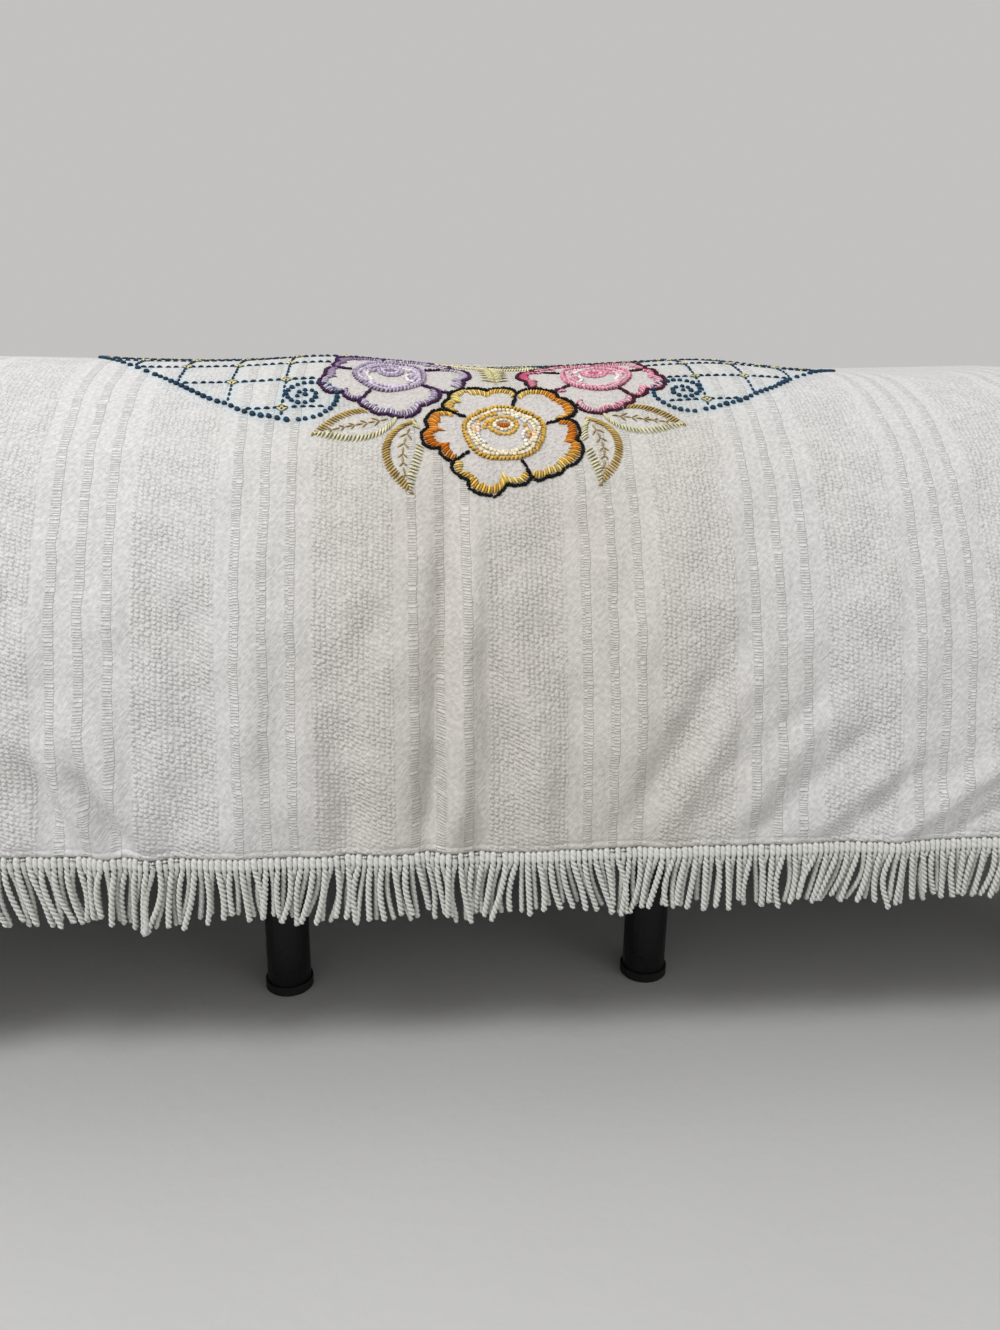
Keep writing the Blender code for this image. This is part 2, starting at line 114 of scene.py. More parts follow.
# Rises along a line, as middle, half width and height.
SIDE_WAVES = (
    (0.22, 0.07, -0.01), (0.47, 0.09, 0.014), (0.75, 0.1, -0.01), (1.05, 0.08, 0.012), (1.31, 0.08, -0.008),
)
CORNER_FLUTES = ((0.21, 0.058, 0.072), (0.49, 0.062, 0.1), (0.78, 0.06, 0.076))  # along the corner's turn
CREST_SWELLS = (
    (-0.33, 0.07, -0.0025), (-0.155, 0.045, 0.0055), (0.05, 0.065, -0.0088), (0.285, 0.055, 0.0065),
    (0.49, 0.085, -0.006), (0.74, 0.07, 0.0048),
)
WAVE_ARC = 0.45  # the waves, and the flutes, begin this far down
FLUTE_ARC = 0.34
SWELL_ARC = 0.08  # the swells' middle
SWELL_FADE = 0.32
SWELL_STRETCH = 0.3  # along the bed they fade this share as fast
HEM_HOLD = 0.5  # the sewn edge holds back this share of the folds
HEM_HOLD_REACH = 0.04
HEM_LIFT = 0.008
HEM_LIFT_FROM_X = -0.22
HEM_LIFT_TO_X = -0.5
HEM_LIFT_REACH = 0.5
PART_FADE = 8  # a part's folds fade out over an eighth of the corner
HEM_BAND = 0.006  # the turned-up edge, a little thicker than the cloth, with a crease above it
HEM_BAND_PUSH = 0.0001
HEM_CREASE = 0.0009
# Small ripples that run down the cloth, stronger towards the pull of the hem stitching, and lumps made by
# ripples that cross at a slant: length, height, slant and start.
RIPPLES = (
    (0.041, 0.00055, 0.1, 0.3), (0.0267, 0.0004, -0.16, 1.1),
    (0.073, 0.0008, 0.22, 2.6), (0.131, 0.001, -0.3, 4),
)
LUMPS = ((0.117, 0.0015, 0.35, 0.9), (0.083, 0.001, -0.45, 2.2), (0.049, 0.00045, 0.6, 4.4))

# ---- small tools ----


def ease(share):
    share = np.clip(share, 0, 1)
    return share * share * (3 - 2 * share)


def bell(distance, half_width):
    return np.exp(-0.5 * (distance / half_width) ** 2)


def rises(rows, place):
    return sum(height * bell(place - middle, half_width) for middle, half_width, height in rows)


def unit(vectors):
    return vectors / np.maximum(np.linalg.norm(vectors, axis=-1, keepdims=True), 1e-12)


def stack(*parts):
    return np.stack(np.broadcast_arrays(*parts), axis=-1)


def columns(rows):
    return (np.array(column) for column in zip(*rows))


def smooth_curve(knots, steps=16):
    """Points of a smooth curve through knots, with its end knots repeated."""
    knots = np.asarray(knots, float)
    padded = np.vstack([knots[:1], knots, knots[-1:]])
    t = np.arange(steps)[:, None] / steps
    points = []
    for before, start, end, after in zip(padded, padded[1:], padded[2:], padded[3:]):
        bend = (2 * before - 5 * start + 4 * end - after) * t**2
        close = (3 * start - before - 3 * end + after) * t**3
        points.append(start + 0.5 * ((end - before) * t + bend + close))
    return np.vstack([*points, knots[-1:]])


def distances(points):
    """How far along a polyline each of its points lies."""
    steps = np.linalg.norm(np.diff(points, axis=0), axis=1)
    return np.concatenate([[0.0], np.cumsum(steps)])


def resample(points, spacing):
    """Evenly spaced points along a polyline."""
    along = distances(points)
    count = max(int(along[-1] / spacing), 1)
    spots = (np.arange(count) + 0.5) * along[-1] / count
    return stack(*(np.interp(spots, along, column) for column in points.T))


def spokes(angles, first, second):
    """Ways out of an axis, by the angle from first towards second."""
    return np.cos(angles)[..., None] * first[..., None, :] + np.sin(angles)[..., None] * second[..., None, :]


def band_faces(rows, across, closed=True):
    """Faces between rows of points, each row closed to a ring or not."""
    faces = []
    for row in range(rows - 1):
        for n in range(across if closed else across - 1):
            a, b = row * across + n, row * across + (n + 1) % across
            faces.append((a, b, b + across, a + across))
    return faces


def shifted(faces, start):
    return [[corner + start for corner in face] for face in faces]


def repeated(faces, count, step):
    return [face for n in range(count) for face in shifted(faces, n * step)]


def join(parts):
    """Several shapes as one. Each is its vertices, its faces and perhaps a value for each vertex."""
    faces, start = [], 0
    for part in parts:
        faces += shifted(part[1], start)
        start += len(part[0])
    places, _, *values = zip(*parts)
    return np.concatenate(places), faces, *map(np.concatenate, values)


def add_to_scene(name, data):
    item = bpy.data.objects.new(name, data)
    bpy.context.scene.collection.objects.link(item)
    return item


VALUE_KINDS = {1: ("FLOAT", "value"), 3: ("FLOAT_VECTOR", "vector"), 4: ("FLOAT_COLOR", "color")}


def add_object(name, vertices, faces, material, smooth=True, **values):
    """A mesh object. values are numbers, vectors or colours for its vertices, by how wide they are."""
    mesh = bpy.data.meshes.new(name)
    mesh.from_pydata(np.reshape(vertices, (-1, 3)).tolist(), [], faces)
    mesh.materials.append(material)
    if smooth:
        mesh.shade_smooth()
    for key, each in values.items():
        kind, field = VALUE_KINDS[each.size // len(each)]
        mesh.attributes.new(key, kind, "POINT").data.foreach_set(field, each.astype(np.float32).ravel())
    return add_to_scene(name, mesh)


# ---- camera ----

EYE = (-0.0685, FOOT_Y - 0.972, 0.73)
EYE_YAW = math.radians(5.26)  # towards +X from straight along +Y
EYE_PITCH = math.radians(17.28)  # downwards
EYE_ROLL = math.radians(0.88)
FOCAL_PIXELS = 1050
IMAGE_HEIGHT = 1330
SENSOR = 36


def make_camera():
    data = bpy.data.cameras.new("camera")
    data.sensor_width = SENSOR
    data.lens = FOCAL_PIXELS / IMAGE_HEIGHT * SENSOR
    data.clip_start = 0.02
    camera = add_to_scene("camera", data)
    turn = Matrix.Rotation(-EYE_YAW, 4, "Z") @ Matrix.Rotation(math.pi / 2 - EYE_PITCH, 4, "X")
    camera.matrix_world = Matrix.Translation(EYE) @ turn @ Matrix.Rotation(EYE_ROLL, 4, "Z")
    bpy.context.scene.camera = camera


# ---- the drape ----

SPREAD_CURVE = smooth_curve(SPREAD_SECTION)
SPREAD_ARCS = distances(SPREAD_CURVE)
HEM_ARC = SPREAD_ARCS[-1]
NORMAL_STEP = 0.0015


def rounded_corner(reach, turn):
    """Plan offset (across, along) of a rounded corner that has come out by reach, and its outward way."""
    radius = np.minimum(reach, CORNER_RADIUS)
    straight = reach - radius
    quarter = radius * math.pi / 2
    walked = turn * (2 * straight + quarter)
    angle = np.clip((walked - straight) / np.maximum(radius, 1e-9), 0, math.pi / 2)
    out_x, out_y = np.sin(angle), np.cos(angle)
    across = np.minimum(walked, straight) + radius * out_x
    along = straight + radius * out_y - np.maximum(walked - straight - quarter, 0)
    return across, along, out_x, out_y


def fold_push(u, arc):
    push = np.zeros(np.shape(u))
    for x_top, arc_top, x_low, arc_low, half_width, height in FOOT_FOLDS:
        share = (arc - arc_top) / (arc_low - arc_top)
        x = x_top + (x_low - x_top) * share
        push += height * bell(u - x, half_width) * ease((share + 0.35) / 0.6) * ease((1.35 - share) / 0.5)
    return push * (1 - HEM_HOLD * ease((arc - HEM_ARC + HEM_HOLD_REACH) / HEM_HOLD_REACH))


def ripple_push(across, arc):
    def wave(first, second, length, start):
        return np.sin(TURN * (first + second) / length + start)

    push = sum(height * wave(across, slant * arc, length, start) for length, height, slant, start in RIPPLES)
    lumps = sum(
        height * wave(across, slant * arc, length, start) * wave(slant * across, -arc, length, 2 * start)
        for length, height, slant, start in LUMPS
    )
    down = 0.35 + 0.65 * ease((arc - 0.25) / (HEM_ARC - 0.25))
    return (push * down + lumps) * ease(arc / 0.3)


def top_height(y, crest_z=CREST_Z):
    level = 1 - np.clip((y - CREST_Y) / TOP_FALL_LENGTH, 0, 1)
    return crest_z - TOP_FALL * (1 - level**TOP_FALL_POWER)


def swell_at(x, arc, crest_y):
    """The swells' height, at x on the spoke that leaves the crest at crest_y."""
    away = np.hypot(arc - SWELL_ARC, SWELL_STRETCH * (crest_y - CREST_Y))
    return ease(1 - away / SWELL_FADE) * rises(CREST_SWELLS, x)


def drape(u, v):
    """Places on the middle of the hung cloth for flat places on it."""
    u, v = np.broadcast_arrays(np.asarray(u, float), np.asarray(v, float))
    over_x = np.maximum(np.abs(u) - CREST_X, 0)
    over_y = np.maximum(CREST_Y - v, 0)
    arc = np.hypot(over_x, over_y)
    turn = np.arctan2(over_x, over_y) / (math.pi / 2)
    side = np.where(u < 0, -1.0, 1.0)
    crest_x = np.clip(u, -CREST_X, CREST_X)
    crest_y = np.maximum(v, CREST_Y)
    from_crest = crest_y - CREST_Y

    lift = HEM_LIFT * ease((HEM_LIFT_FROM_X - crest_x) / (HEM_LIFT_FROM_X - HEM_LIFT_TO_X))
    lift = lift * ease(1 - from_crest / HEM_LIFT_REACH)
    lowered = arc * (1 - lift / HEM_ARC)
    inset, height = (np.interp(lowered, SPREAD_ARCS, column) for column in SPREAD_CURVE.T)
    across, along, out_x, out_y = rounded_corner(CREST_INSET - inset, turn)
    high = (top_height(crest_y) - HEM_Z) / (CREST_Z - HEM_Z)

    push = fold_push(u, arc) * ease(1 - turn * PART_FADE)
    down = ease((arc - WAVE_ARC) / (HEM_ARC - WAVE_ARC))
    push += down * rises(SIDE_WAVES, from_crest) * ease(1 - (1 - turn) * PART_FADE)
    push += ease((arc - FLUTE_ARC) / (HEM_ARC - FLUTE_ARC)) * rises(CORNER_FLUTES, turn)
    push += ripple_push(crest_x + side * turn * HEM_ARC - side * from_crest, arc)
    above_band = arc - HEM_ARC + HEM_BAND
    push += HEM_BAND_PUSH * ease(above_band / 0.002) - HEM_CREASE * bell(above_band, 0.0012)

    x = crest_x + side * (across + push * out_x * (over_x > 0))
    y = crest_y - along - push * out_y * (over_y > 0)
    return stack(x, y, HEM_Z + (height - HEM_Z) * high + swell_at(x, arc, crest_y))


def cloth_frame(u, v):
    """Places on the cloth and its outward normals there."""
    across = drape(u + NORMAL_STEP, v) - drape(u - NORMAL_STEP, v)
    along = drape(u, v + NORMAL_STEP) - drape(u, v - NORMAL_STEP)
    return drape(u, v), unit(np.cross(across, along))


# ---- materials ----


class Value:
    """A value in a material. Arithmetic with it adds nodes."""

    def __init__(self, graph, socket):
        self.graph = graph
        self.socket = socket

    def math(self, operation, *others):
        return self.graph.node("ShaderNodeMath", enumerate([self, *others]), operation=operation)

    __add__ = partialmethod(math, "ADD")
    __sub__ = partialmethod(math, "SUBTRACT")
    __mul__ = partialmethod(math, "MULTIPLY")
    __truediv__ = partialmethod(math, "DIVIDE")
    __abs__ = partialmethod(math, "ABSOLUTE")

    def rest(self):
        """What is left of 1 without this value."""
        return self.graph.node("ShaderNodeMath", {0: 1, 1: self}, operation="SUBTRACT")


class Graph:
    """A Principled material and its nodes."""

    def __init__(self, name, *shine):
        self.material = bpy.data.materials.new(name)
        self.material.use_nodes = True
        self.tree = self.material.node_tree
        self.sockets = self.tree.nodes["Principled BSDF"].inputs
        for socket, value in zip(("Roughness", "Specular IOR Level", "Sheen Weight"), shine):
            self.sockets[socket].default_value = value

    def plug(self, socket, value):
        if isinstance(value, Value):
            self.tree.links.new(value.socket, socket)
        else:
            socket.default_value = (*value, 1) if isinstance(value, tuple) else value

    def node(self, kind, inputs=(), output=0, **settings):
        node = self.tree.nodes.new(kind)
        for setting, value in settings.items():
            setattr(node, setting, value)
        for key, value in dict(inputs).items():
            self.plug(node.inputs[key], value)
        return Value(self, node.outputs[output])

    def step(self, value, low, high, at_low=0, at_high=1):
        """A smooth step from at_low to at_high as value goes from low to high."""
        inputs = enumerate((value, low, high, at_low, at_high))
        return self.node("ShaderNodeMapRange", inputs, interpolation_type="SMOOTHSTEP")

    def point(self, x, y):
        return self.node("ShaderNodeCombineXYZ", enumerate((x, y)))

    def noise(self, place, scale, detail=2):
        return self.node("ShaderNodeTexNoise", {"Vector": place, "Scale": scale, "Detail": detail})

    def attribute(self, name, output="Fac"):
        return self.node("ShaderNodeAttribute", (), output, attribute_name=name)

    def here(self):
        return self.node("ShaderNodeTexCoord", (), "Object")

    def mix(self, share, first, second, blend="MIX"):
        inputs = {0: share, 6: first, 7: second}
        return self.node("ShaderNodeMix", inputs, 2, data_type="RGBA", blend_type=blend)

    def finish(self, color, height, distance):
        """Colours the surface, and raises it by height times distance."""
        bump = self.node("ShaderNodeBump", {"Height": height, "Distance": distance, "Strength": 1})
        self.plug(self.sockets["Base Color"], color)
        self.plug(self.sockets["Normal"], bump)
        return self.material


# The cloth's stripes run from head to foot in groups of three ladders with smooth bands beside them, and
# pebbled bands between the groups.
STRIPE_PITCH = 0.1664
STRIPE_MIDDLE = 0.046  # halfway between two groups
LADDER_SPACING = 0.0256
LADDER_HALF = 0.0043
SMOOTH_TO = 0.045  # the pebbles begin this far from a group's middle
RUNG_PITCH = 0.0029
PEBBLE_WIDTH = 0.0049
PEBBLE_LENGTH = 0.0042
WHITE = (0.642, 0.633, 0.622)
# Painted light and shade: ladders and pebbled bands are painted lighter than the plain cloth, making up for
# the shade of their relief, and darker in the gaps between rungs and between grains, as shade.
RUNG_LIT = (0.72, 0.711, 0.699)
RUNG_GAP_SHADE = (0.43, 0.41, 0.372)
PEBBLE_LIT = (0.696, 0.686, 0.671)
PEBBLE_GAP_SHADE = (0.44, 0.422, 0.388)
AGED = (0.62, 0.592, 0.535)
PEBBLE_HEIGHT = 0.0013
RUNG_HEIGHT = 0.001
LADDER_DEPTH = 0.00014
FINE_HEIGHT = 0.0002
TWILL_HEIGHT = 0.0008
CRUMPLE_HEIGHT = 0.0006
PETAL_CRUMPLE = 0.003
BLEED = (0.44, 0.61, 0.7)
BLEED_REACH = 0.0054
BLEED_MARGIN = 0.03
BLEED_EACH = 0.15  # how much one stitch adds, and the most that there is
BLEED_MOST = 0.46
TINT_MIDDLE = 0.04
MIDDLE_TINT = (0.94, 0.919, 0.876)
OUTER_TINT = (1.044, 1.054, 1.072)
PETAL_WHITE = (0.625, 0.59, 0.572)


def cloth_material():
    graph = Graph("cloth", 0.93, 0.2, 0.1)
    flat = graph.attribute("flat", "Vector")
    u, v = (graph.node("ShaderNodeSeparateXYZ", {0: flat}, axis) for axis in (0, 1))
    place = graph.point(u, v)

    shifted_u = u + (graph.noise(place, 22) - 0.5) * 0.006
    from_group = abs(((shifted_u - STRIPE_MIDDLE) / STRIPE_PITCH).math("FRACT") - 0.5) * STRIPE_PITCH
    from_ladder = from_group.math("MINIMUM", abs(from_group - LADDER_SPACING))
    from_ladder = from_ladder + graph.noise(place, 420, 1) * 0.0012
    ladder = graph.step(from_ladder, LADDER_HALF, LADDER_HALF + 0.001, 1, 0)
    pebbled = graph.step(from_group, SMOOTH_TO - 0.0015, SMOOTH_TO + 0.002)

    # Each ladder's rungs have their own start and crowd here and there.
    column = ((shifted_u + 0.0002) * (1 / LADDER_SPACING)).math("FLOOR")
    crowd = graph.noise(graph.point(column * 3.7, v), 55)
    rungs = graph.step(((v / RUNG_PITCH + crowd * 5) * TURN).math("SINE"), -0.9, -0.05)

    # The pebbles are grains that lie in slanted rows.
    grain_place = graph.point(u / PEBBLE_WIDTH, (v + u * 0.3) / PEBBLE_LENGTH)
    inputs = {"Vector": grain_place, "Scale": 1, "Randomness": 0.45, "Smoothness": 0.25}
    grain = graph.node("ShaderNodeTexVoronoi", inputs, feature="SMOOTH_F1", voronoi_dimensions="2D")
    grain = graph.step(grain, 0.1, 0.62, 1, 0)
    patches = graph.step(graph.noise(place, 38), 0.3, 0.62, 0.5, 1)

    # Inside the petals the ground is plain.
    petal = graph.attribute("petal")
    ladder = ladder * petal.rest()
    pebbled = pebbled * petal.rest() * patches
    twill = graph.noise(graph.point(u - v * 0.8, (v + u * 0.8) * 0.2), 420)
    crumple = graph.noise(place, 230, 1)

    height = 0
    for weight, part in (
        (PEBBLE_HEIGHT, pebbled * grain),
        (RUNG_HEIGHT, ladder * rungs),
        (-LADDER_DEPTH, ladder),
        (FINE_HEIGHT, graph.noise(graph.point(u * 1.6, v), 900)),
        (TWILL_HEIGHT, twill),
        (petal.math("MULTIPLY_ADD", PETAL_CRUMPLE - CRUMPLE_HEIGHT, CRUMPLE_HEIGHT), crumple),
    ):
        height = part.math("MULTIPLY_ADD", weight, height)

    # Painted light and shade: lighter ladders and pebbled bands, darker gaps between their rungs and grains.
    color = graph.mix(ladder, graph.mix(pebbled, WHITE, PEBBLE_LIT), RUNG_LIT)
    color = graph.mix(ladder * rungs.rest() * 0.42, color, RUNG_GAP_SHADE)
    color = graph.mix(pebbled * grain.rest() * 0.24, color, PEBBLE_GAP_SHADE)
    color = graph.mix(graph.step(graph.noise(place, 6, 3), 0.45, 0.75, 0, 0.22), color, AGED)
    # The middle is a little warmer and darker than the sides and the head.
    outer = graph.step(abs(u - TINT_MIDDLE), 0.05, 0.38).math("MAXIMUM", graph.step(v, -0.2, 0.5, 0, 0.6))
    color = graph.mix(1, color, graph.mix(outer, MIDDLE_TINT, OUTER_TINT), "MULTIPLY")
    color = graph.mix(petal, color, PETAL_WHITE)
    # Painted shade and light: the cloth is darker where the twill and the crumple sink and a little lighter
    # where they rise.
    for texture, low in ((twill, 0.92), (crumple, 0.88)):
        color = graph.mix(1, color, graph.step(texture, 0.3, 0.7, low, 1.04), "MULTIPLY")
    return graph.finish(graph.mix(graph.attribute("bleed"), color, BLEED), height, 1)


def thread_material():
    graph = Graph("thread", 0.75, 0.12)
    worn = graph.step(graph.noise(graph.here(), 500), 0.3, 0.7, 0.82, 1.12)
    # The dye holds each thread's own colour together with its painted shade and highlight.
    color = graph.mix(1, graph.attribute("dye", "Color"), worn, "MULTIPLY")
    return graph.finish(color, graph.noise(graph.here(), 1800), 0.0004)


# Each is its roughness, specular and sheen, two tones, the scale and detail of their mottling, and the scale,
# detail and height of its relief.
PLAIN_MATERIALS = {
    "cord": ((0.9, 0.2, 0.1), (0.7, 0.712, 0.672), (0.79, 0.798, 0.762), (60, 3), (1400, 2), 0.0006),
    "ticking": ((0.92, 0.2, 0.08), (0.66, 0.65, 0.61), (0.74, 0.73, 0.7), (9, 3), (1100, 1), 0.0004),
    "base_cloth": ((0.95, 0.15, 0.15), (0.03, 0.03, 0.034), (0.085, 0.085, 0.092), (320, 3), (900, 2), 5e-4),
    "leg_paint": ((0.34, 0.22), (0.004, 0.004, 0.005), (0.009, 0.009, 0.01), (12, 3), (700, 1), 0.00012),
    "cap_rubber": ((0.62, 0.2), (0.006, 0.006, 0.007), (0.016, 0.016, 0.017), (90, 3), (900, 2), 0.0003),
    "floor": ((0.7, 0.3), (0.5, 0.5, 0.498), (0.54, 0.54, 0.536), (2.5, 4), (60, 3), 0.0006),
}
CORD_GROOVE_SHADE = (0.33, 0.33, 0.3)


def plain_material(name):
    shine, low, high, mottling, relief, height = PLAIN_MATERIALS[name]
    graph = Graph(name, *shine)
    place = graph.here()
    color = graph.mix(graph.noise(place, *mottling), low, high)
    if name == "cord":
        # Painted shade: the cord is darker in the grooves between its strands, and on the tape behind it.
        color = graph.mix(graph.attribute("groove") * 0.75, color, CORD_GROOVE_SHADE)
    if name == "leg_paint":
        graph.plug(graph.sockets["Roughness"], graph.step(graph.noise(place, 45, 4), 0.3, 0.7, 0.26, 0.46))
    return graph.finish(color, graph.noise(place, *relief), height)


# ---- the embroidery ----

DESIGN_U = 0.03  # the design's middle
DESIGN_ARC = -0.14  # its middle row, on the bed's top
DESIGN_SKEW = 0.05  # the design lies a little askew, its right side nearer the head
# Below, a place in the design is (p, arc): p across from its middle, and arc towards the foot from the crest.

BLUE = (0.022, 0.062, 0.115)
BLACK = (0.01, 0.009, 0.01)
CREAM = (0.8, 0.74, 0.5)
GOLD_BROWN = (0.45, 0.285, 0.07)
LIGHT_BROWN = (0.6, 0.43, 0.16)
VEIN = (0.43, 0.31, 0.11)
PALE_YELLOW = (0.8, 0.72, 0.42)
PALE_GREEN = (0.66, 0.64, 0.36)
DEEP_ORANGE = (0.56, 0.15, 0.008)
ORANGE = (0.7, 0.265, 0.035)
PEACH = (0.8, 0.45, 0.21)
GOLD = (0.74, 0.45, 0.085)
LIGHT_GOLD = (0.82, 0.62, 0.21)
IVORY = (0.86, 0.77, 0.56)
BONE = (0.86, 0.84, 0.81)
PLUM = (0.06, 0.022, 0.075)
PURPLE = (0.285, 0.205, 0.35)
LILAC = (0.465, 0.385, 0.515)
PALE_LILAC = (0.64, 0.57, 0.69)
MAROON = (0.075, 0.016, 0.035)
ROSE = (0.6, 0.1, 0.19)
PINK = (0.74, 0.3, 0.4)
PALE_PINK = (0.8, 0.52, 0.58)

# A flower's petals, clockwise in degrees from the bed's head. Each starts at the notch before it and is made
# of round lobes, given by angle, radius and half width in degrees.
PETALS = (
    (-58.5, ((-45, 0.079, 13.5), (-26, 0.0905, 20), (2, 0.0875, 13))),
    (14.5, ((32, 0.095, 18), (56, 0.088, 19))),
    (75.0, ((92, 0.0775, 17), (118, 0.0855, 17), (136, 0.0805, 14), (150, 0.0755, 10))),
    (159.5, ((171, 0.0725, 11.5), (197, 0.0845, 17), (219, 0.075, 13.5))),
    (232.0, ((243, 0.072, 11), (264, 0.0845, 14), (286, 0.0815, 15.5))),
)
NOTCH_RADIUS = 0.063
NOTCH_END = 0.045  # how near the middle the outline runs in between two petals
SATIN_FOCUS = 0.04  # a petal's stitches point to a spot this far from the middle
RING = (0.0405, 0.025)  # radius and wave, of the ring of stitches and of the row of knots within it
INNER_RING = (0.0352, 0.05)
RING_STITCH = (0.0018, 0.0052, 0.0041)  # radius, length and spacing
PETAL_GROUND = 0.074  # within this radius the cloth is plain and whiter
# satin is the length of the stitches inside the petals' edges. petals picks their dyes along each edge.
FLOWER_FIELDS = "name p arc scale stretch turn mirror satin outline dyes petals ring cream warm"
Flower = namedtuple("Flower", FLOWER_FIELDS)
FLOWERS = (
    Flower(
        "orange_flower", 0.0017, 0.322, 1, 1, 0, 1, 0.0122, BLACK, (DEEP_ORANGE, ORANGE, GOLD, LIGHT_GOLD),
        ("23323", "321112", "101232", "232223", "100112"), GOLD, IVORY, PEACH,
    ),
    Flower(
        "purple_flower", -0.1137, 0.203, 0.92, 1.23, 50, 1, 0.01, PLUM, (PURPLE, LILAC, PALE_LILAC),
        ("2112", "121121", "112121", "11210", "0001"), LILAC, PALE_LILAC, LILAC,
    ),
    Flower(
        "pink_flower", 0.113, 0.202, 0.92, 1.23, 50, -1, 0.0108, MAROON, (ROSE, PINK, PALE_PINK),
        ("2112", "100101", "112112", "11211", "1211"), PINK, PALE_PINK, PINK,
    ),
)
# Rows of knots in a flower's heart: a dye, then what oval() takes.
HEART_ROWS = (
    ("cream", 0.0308, 0, 288), ("ring", 0.03, 296, 350), ("white", 0.027, 228, 296),
    ("white", 0.0268, 20, 62), ("ring", 0.014, 0, 360, 1, 0, -0.009),
    ("cream", 0.0092, 0, 360, 0.9, 0, -0.01), ("ring", 0.02, 272, 322, 1, 0, -0.003), ("ring", 0.024, 62, 98),
    ("white", 0.0078, 170, 360, 1.3, 0.0262, 0.008), ("warm", 0.003, 0, 360, 1.7, 0.027, 0.008),
    ("warm", 0.0026, 0, 360, 1.8, -0.028, -0.005),
)
SATIN_SPACING = 0.0033
SATIN_RADIUS = 0.00135
SATIN_LIGHT_AND_SHADE = (0.74, 1.22)  # stitches that lie side by side take turns, painted lighter and darker as highlight and shade
OUTLINE_SPACING = 0.0031
OUTLINE_LENGTH = OUTLINE_SPACING * 1.4
OUTLINE_RADIUS = 0.0017
HEART_KNOT_RADIUS = 0.0024
HEART_KNOT_SPACING = 0.0044

# A leaf's base and tip as (p, arc), its half width and its bend.
LEAVES = (((0.107, 0.2985), (0.19, 0.3209), 0.0245, 0), ((0.09, 0.305), (0.094, 0.3967), 0.021, -0.009))
# The stitches on a leaf's edges: hand, the two dyes that they lie between, spacing and length. The edge away
# from the foot or the flower is brown, and the other is cream.
LEAF_EDGES = ((-1, GOLD_BROWN, LIGHT_BROWN, 0.0035, 0.0102), (1, CREAM, PALE_GREEN, 0.0039, 0.011))
LEAF_THREAD = 0.00125
VEIN_THREAD = 0.00095
VEIN_PLACES = (0.22, 0.36, 0.5, 0.64, 0.78)
LEAF_STEPS = 40

# A pale sprig stands between the two upper flowers. Its stitches leave the stem at these arcs, to each side:
# how far out, how far towards the head, and the dye.
SPRIG_ARCS = 0.075 + 0.0125 * np.arange(12)
SPRIG_SPRAYS = ((0.01024, 0.0143, PALE_GREEN), (0.016, 0.0065, PALE_YELLOW))
SPRIG_STEM = (0.06, 0.222)
STEM_STITCH = (0.0009, 0.0052, 0.006)  # radius, length and spacing
LEVEL_REACH = 0.058  # its two level leaves, behind the flowers, reach this far to each side
LEVEL_ROWS = ((0.108, 0.08), (0.136, 0.111))  # their stitches run between these arcs
LEVEL_SPACING = 0.0031
LEVEL_LEAN = 0.006
LEVEL_LIFT = 0.006  # their tips are this much nearer the head

# The border of knots, from the scroll by the flowers out to the design's side, as (p, arc).
BORDER = (
    (0.213, 0.2997), (0.229, 0.295), (0.245, 0.2895), (0.2627, 0.282), (0.2795, 0.269), (0.2975, 0.2583),
    (0.313, 0.245), (0.33, 0.227), (0.353, 0.205), (0.37, 0.187), (0.4, 0.149), (0.433, 0.095),
    (0.455, 0.04), (0.468, -0.04), (0.472, DESIGN_ARC),
)
BORDER_LINE = smooth_curve(BORDER, 12)
SCROLL_CENTRE = (0.2004, 0.258)
SCROLL_TURNS = 1.9
SCROLL_INNER = 0.0085
KNOT_SPACING = 0.0086
KNOTS_CLOSE_FROM = 0.21  # nearer the foot than this arc the knots are close together
KNOT_APART = 0.0068  # and elsewhere at least this far apart across the bed
KNOT_RADIUS = 0.0032
SCROLL_KNOT_SPACING = 0.0074
SCROLL_KNOT_RADIUS = 0.0028
LATTICE_U = 0.0556
LATTICE_V = 0.0575
LATTICE_FIRST_ARC = 0.279
NEAR_ROWS = LATTICE_FIRST_ARC - LATTICE_V * np.arange(int((LATTICE_FIRST_ARC - DESIGN_ARC) / LATTICE_V) + 1)
LATTICE_ROWS = (*NEAR_ROWS, *(2 * DESIGN_ARC - NEAR_ROWS))
COLUMNS_BESIDE = int(BORDER[-1][0] / LATTICE_U)
LATTICE_COLUMNS = LATTICE_U * np.arange(-COLUMNS_BESIDE, COLUMNS_BESIDE + 1)
RUN_LENGTH = 0.0064
RUN_SPACINGS = (0.0084, 0.0098)  # across the bed and along it
RUN_RADIUS = 0.0015
# The plain grounds of the flowers and the sprig, as half width and the arc from which they reach to the foot.
GROUNDS = ((0.178, 0.262), (0.08, 0.05))
# The small crosses where lattice lines meet, and the diamonds round them.
CROSS_WAYS = ((1, 1), (1, -1))
CROSS_HALF = 0.0026
CROSS_RADIUS = 0.0009
DIAMOND_SIDES = ((1, 1), (-1, 1), (-1, -1), (1, -1))
DIAMOND_REACH = 0.0029
DIAMOND_HALF = 0.0027
DIAMOND_RADIUS = 0.0012
QUARTERS = ((-1, False), (-1, True), (1, False), (1, True))  # a side, and whether in the far half

STITCH_RINGS = 5
STITCH_SIDES = 6
# painted shade: a thread's flanks and underside are this share darker
FLANK_SHADE = 0.72
# A knot's profile from its rim on the cloth to its dimple: distance from its middle and height.
KNOT_PROFILE = ((0.82, -0.3), (1.02, 0.25), (0.78, 0.82), (0.32, 0.96))
# Painted shade on a knot's rings, from its rim to its top, then its dimple: darkest where it meets the cloth.
KNOT_PAINTED_SHADE = (0.4, 0.72, 1, 1, 0.9)
KNOT_DIMPLE = 0.8
KNOT_SIDES = 8


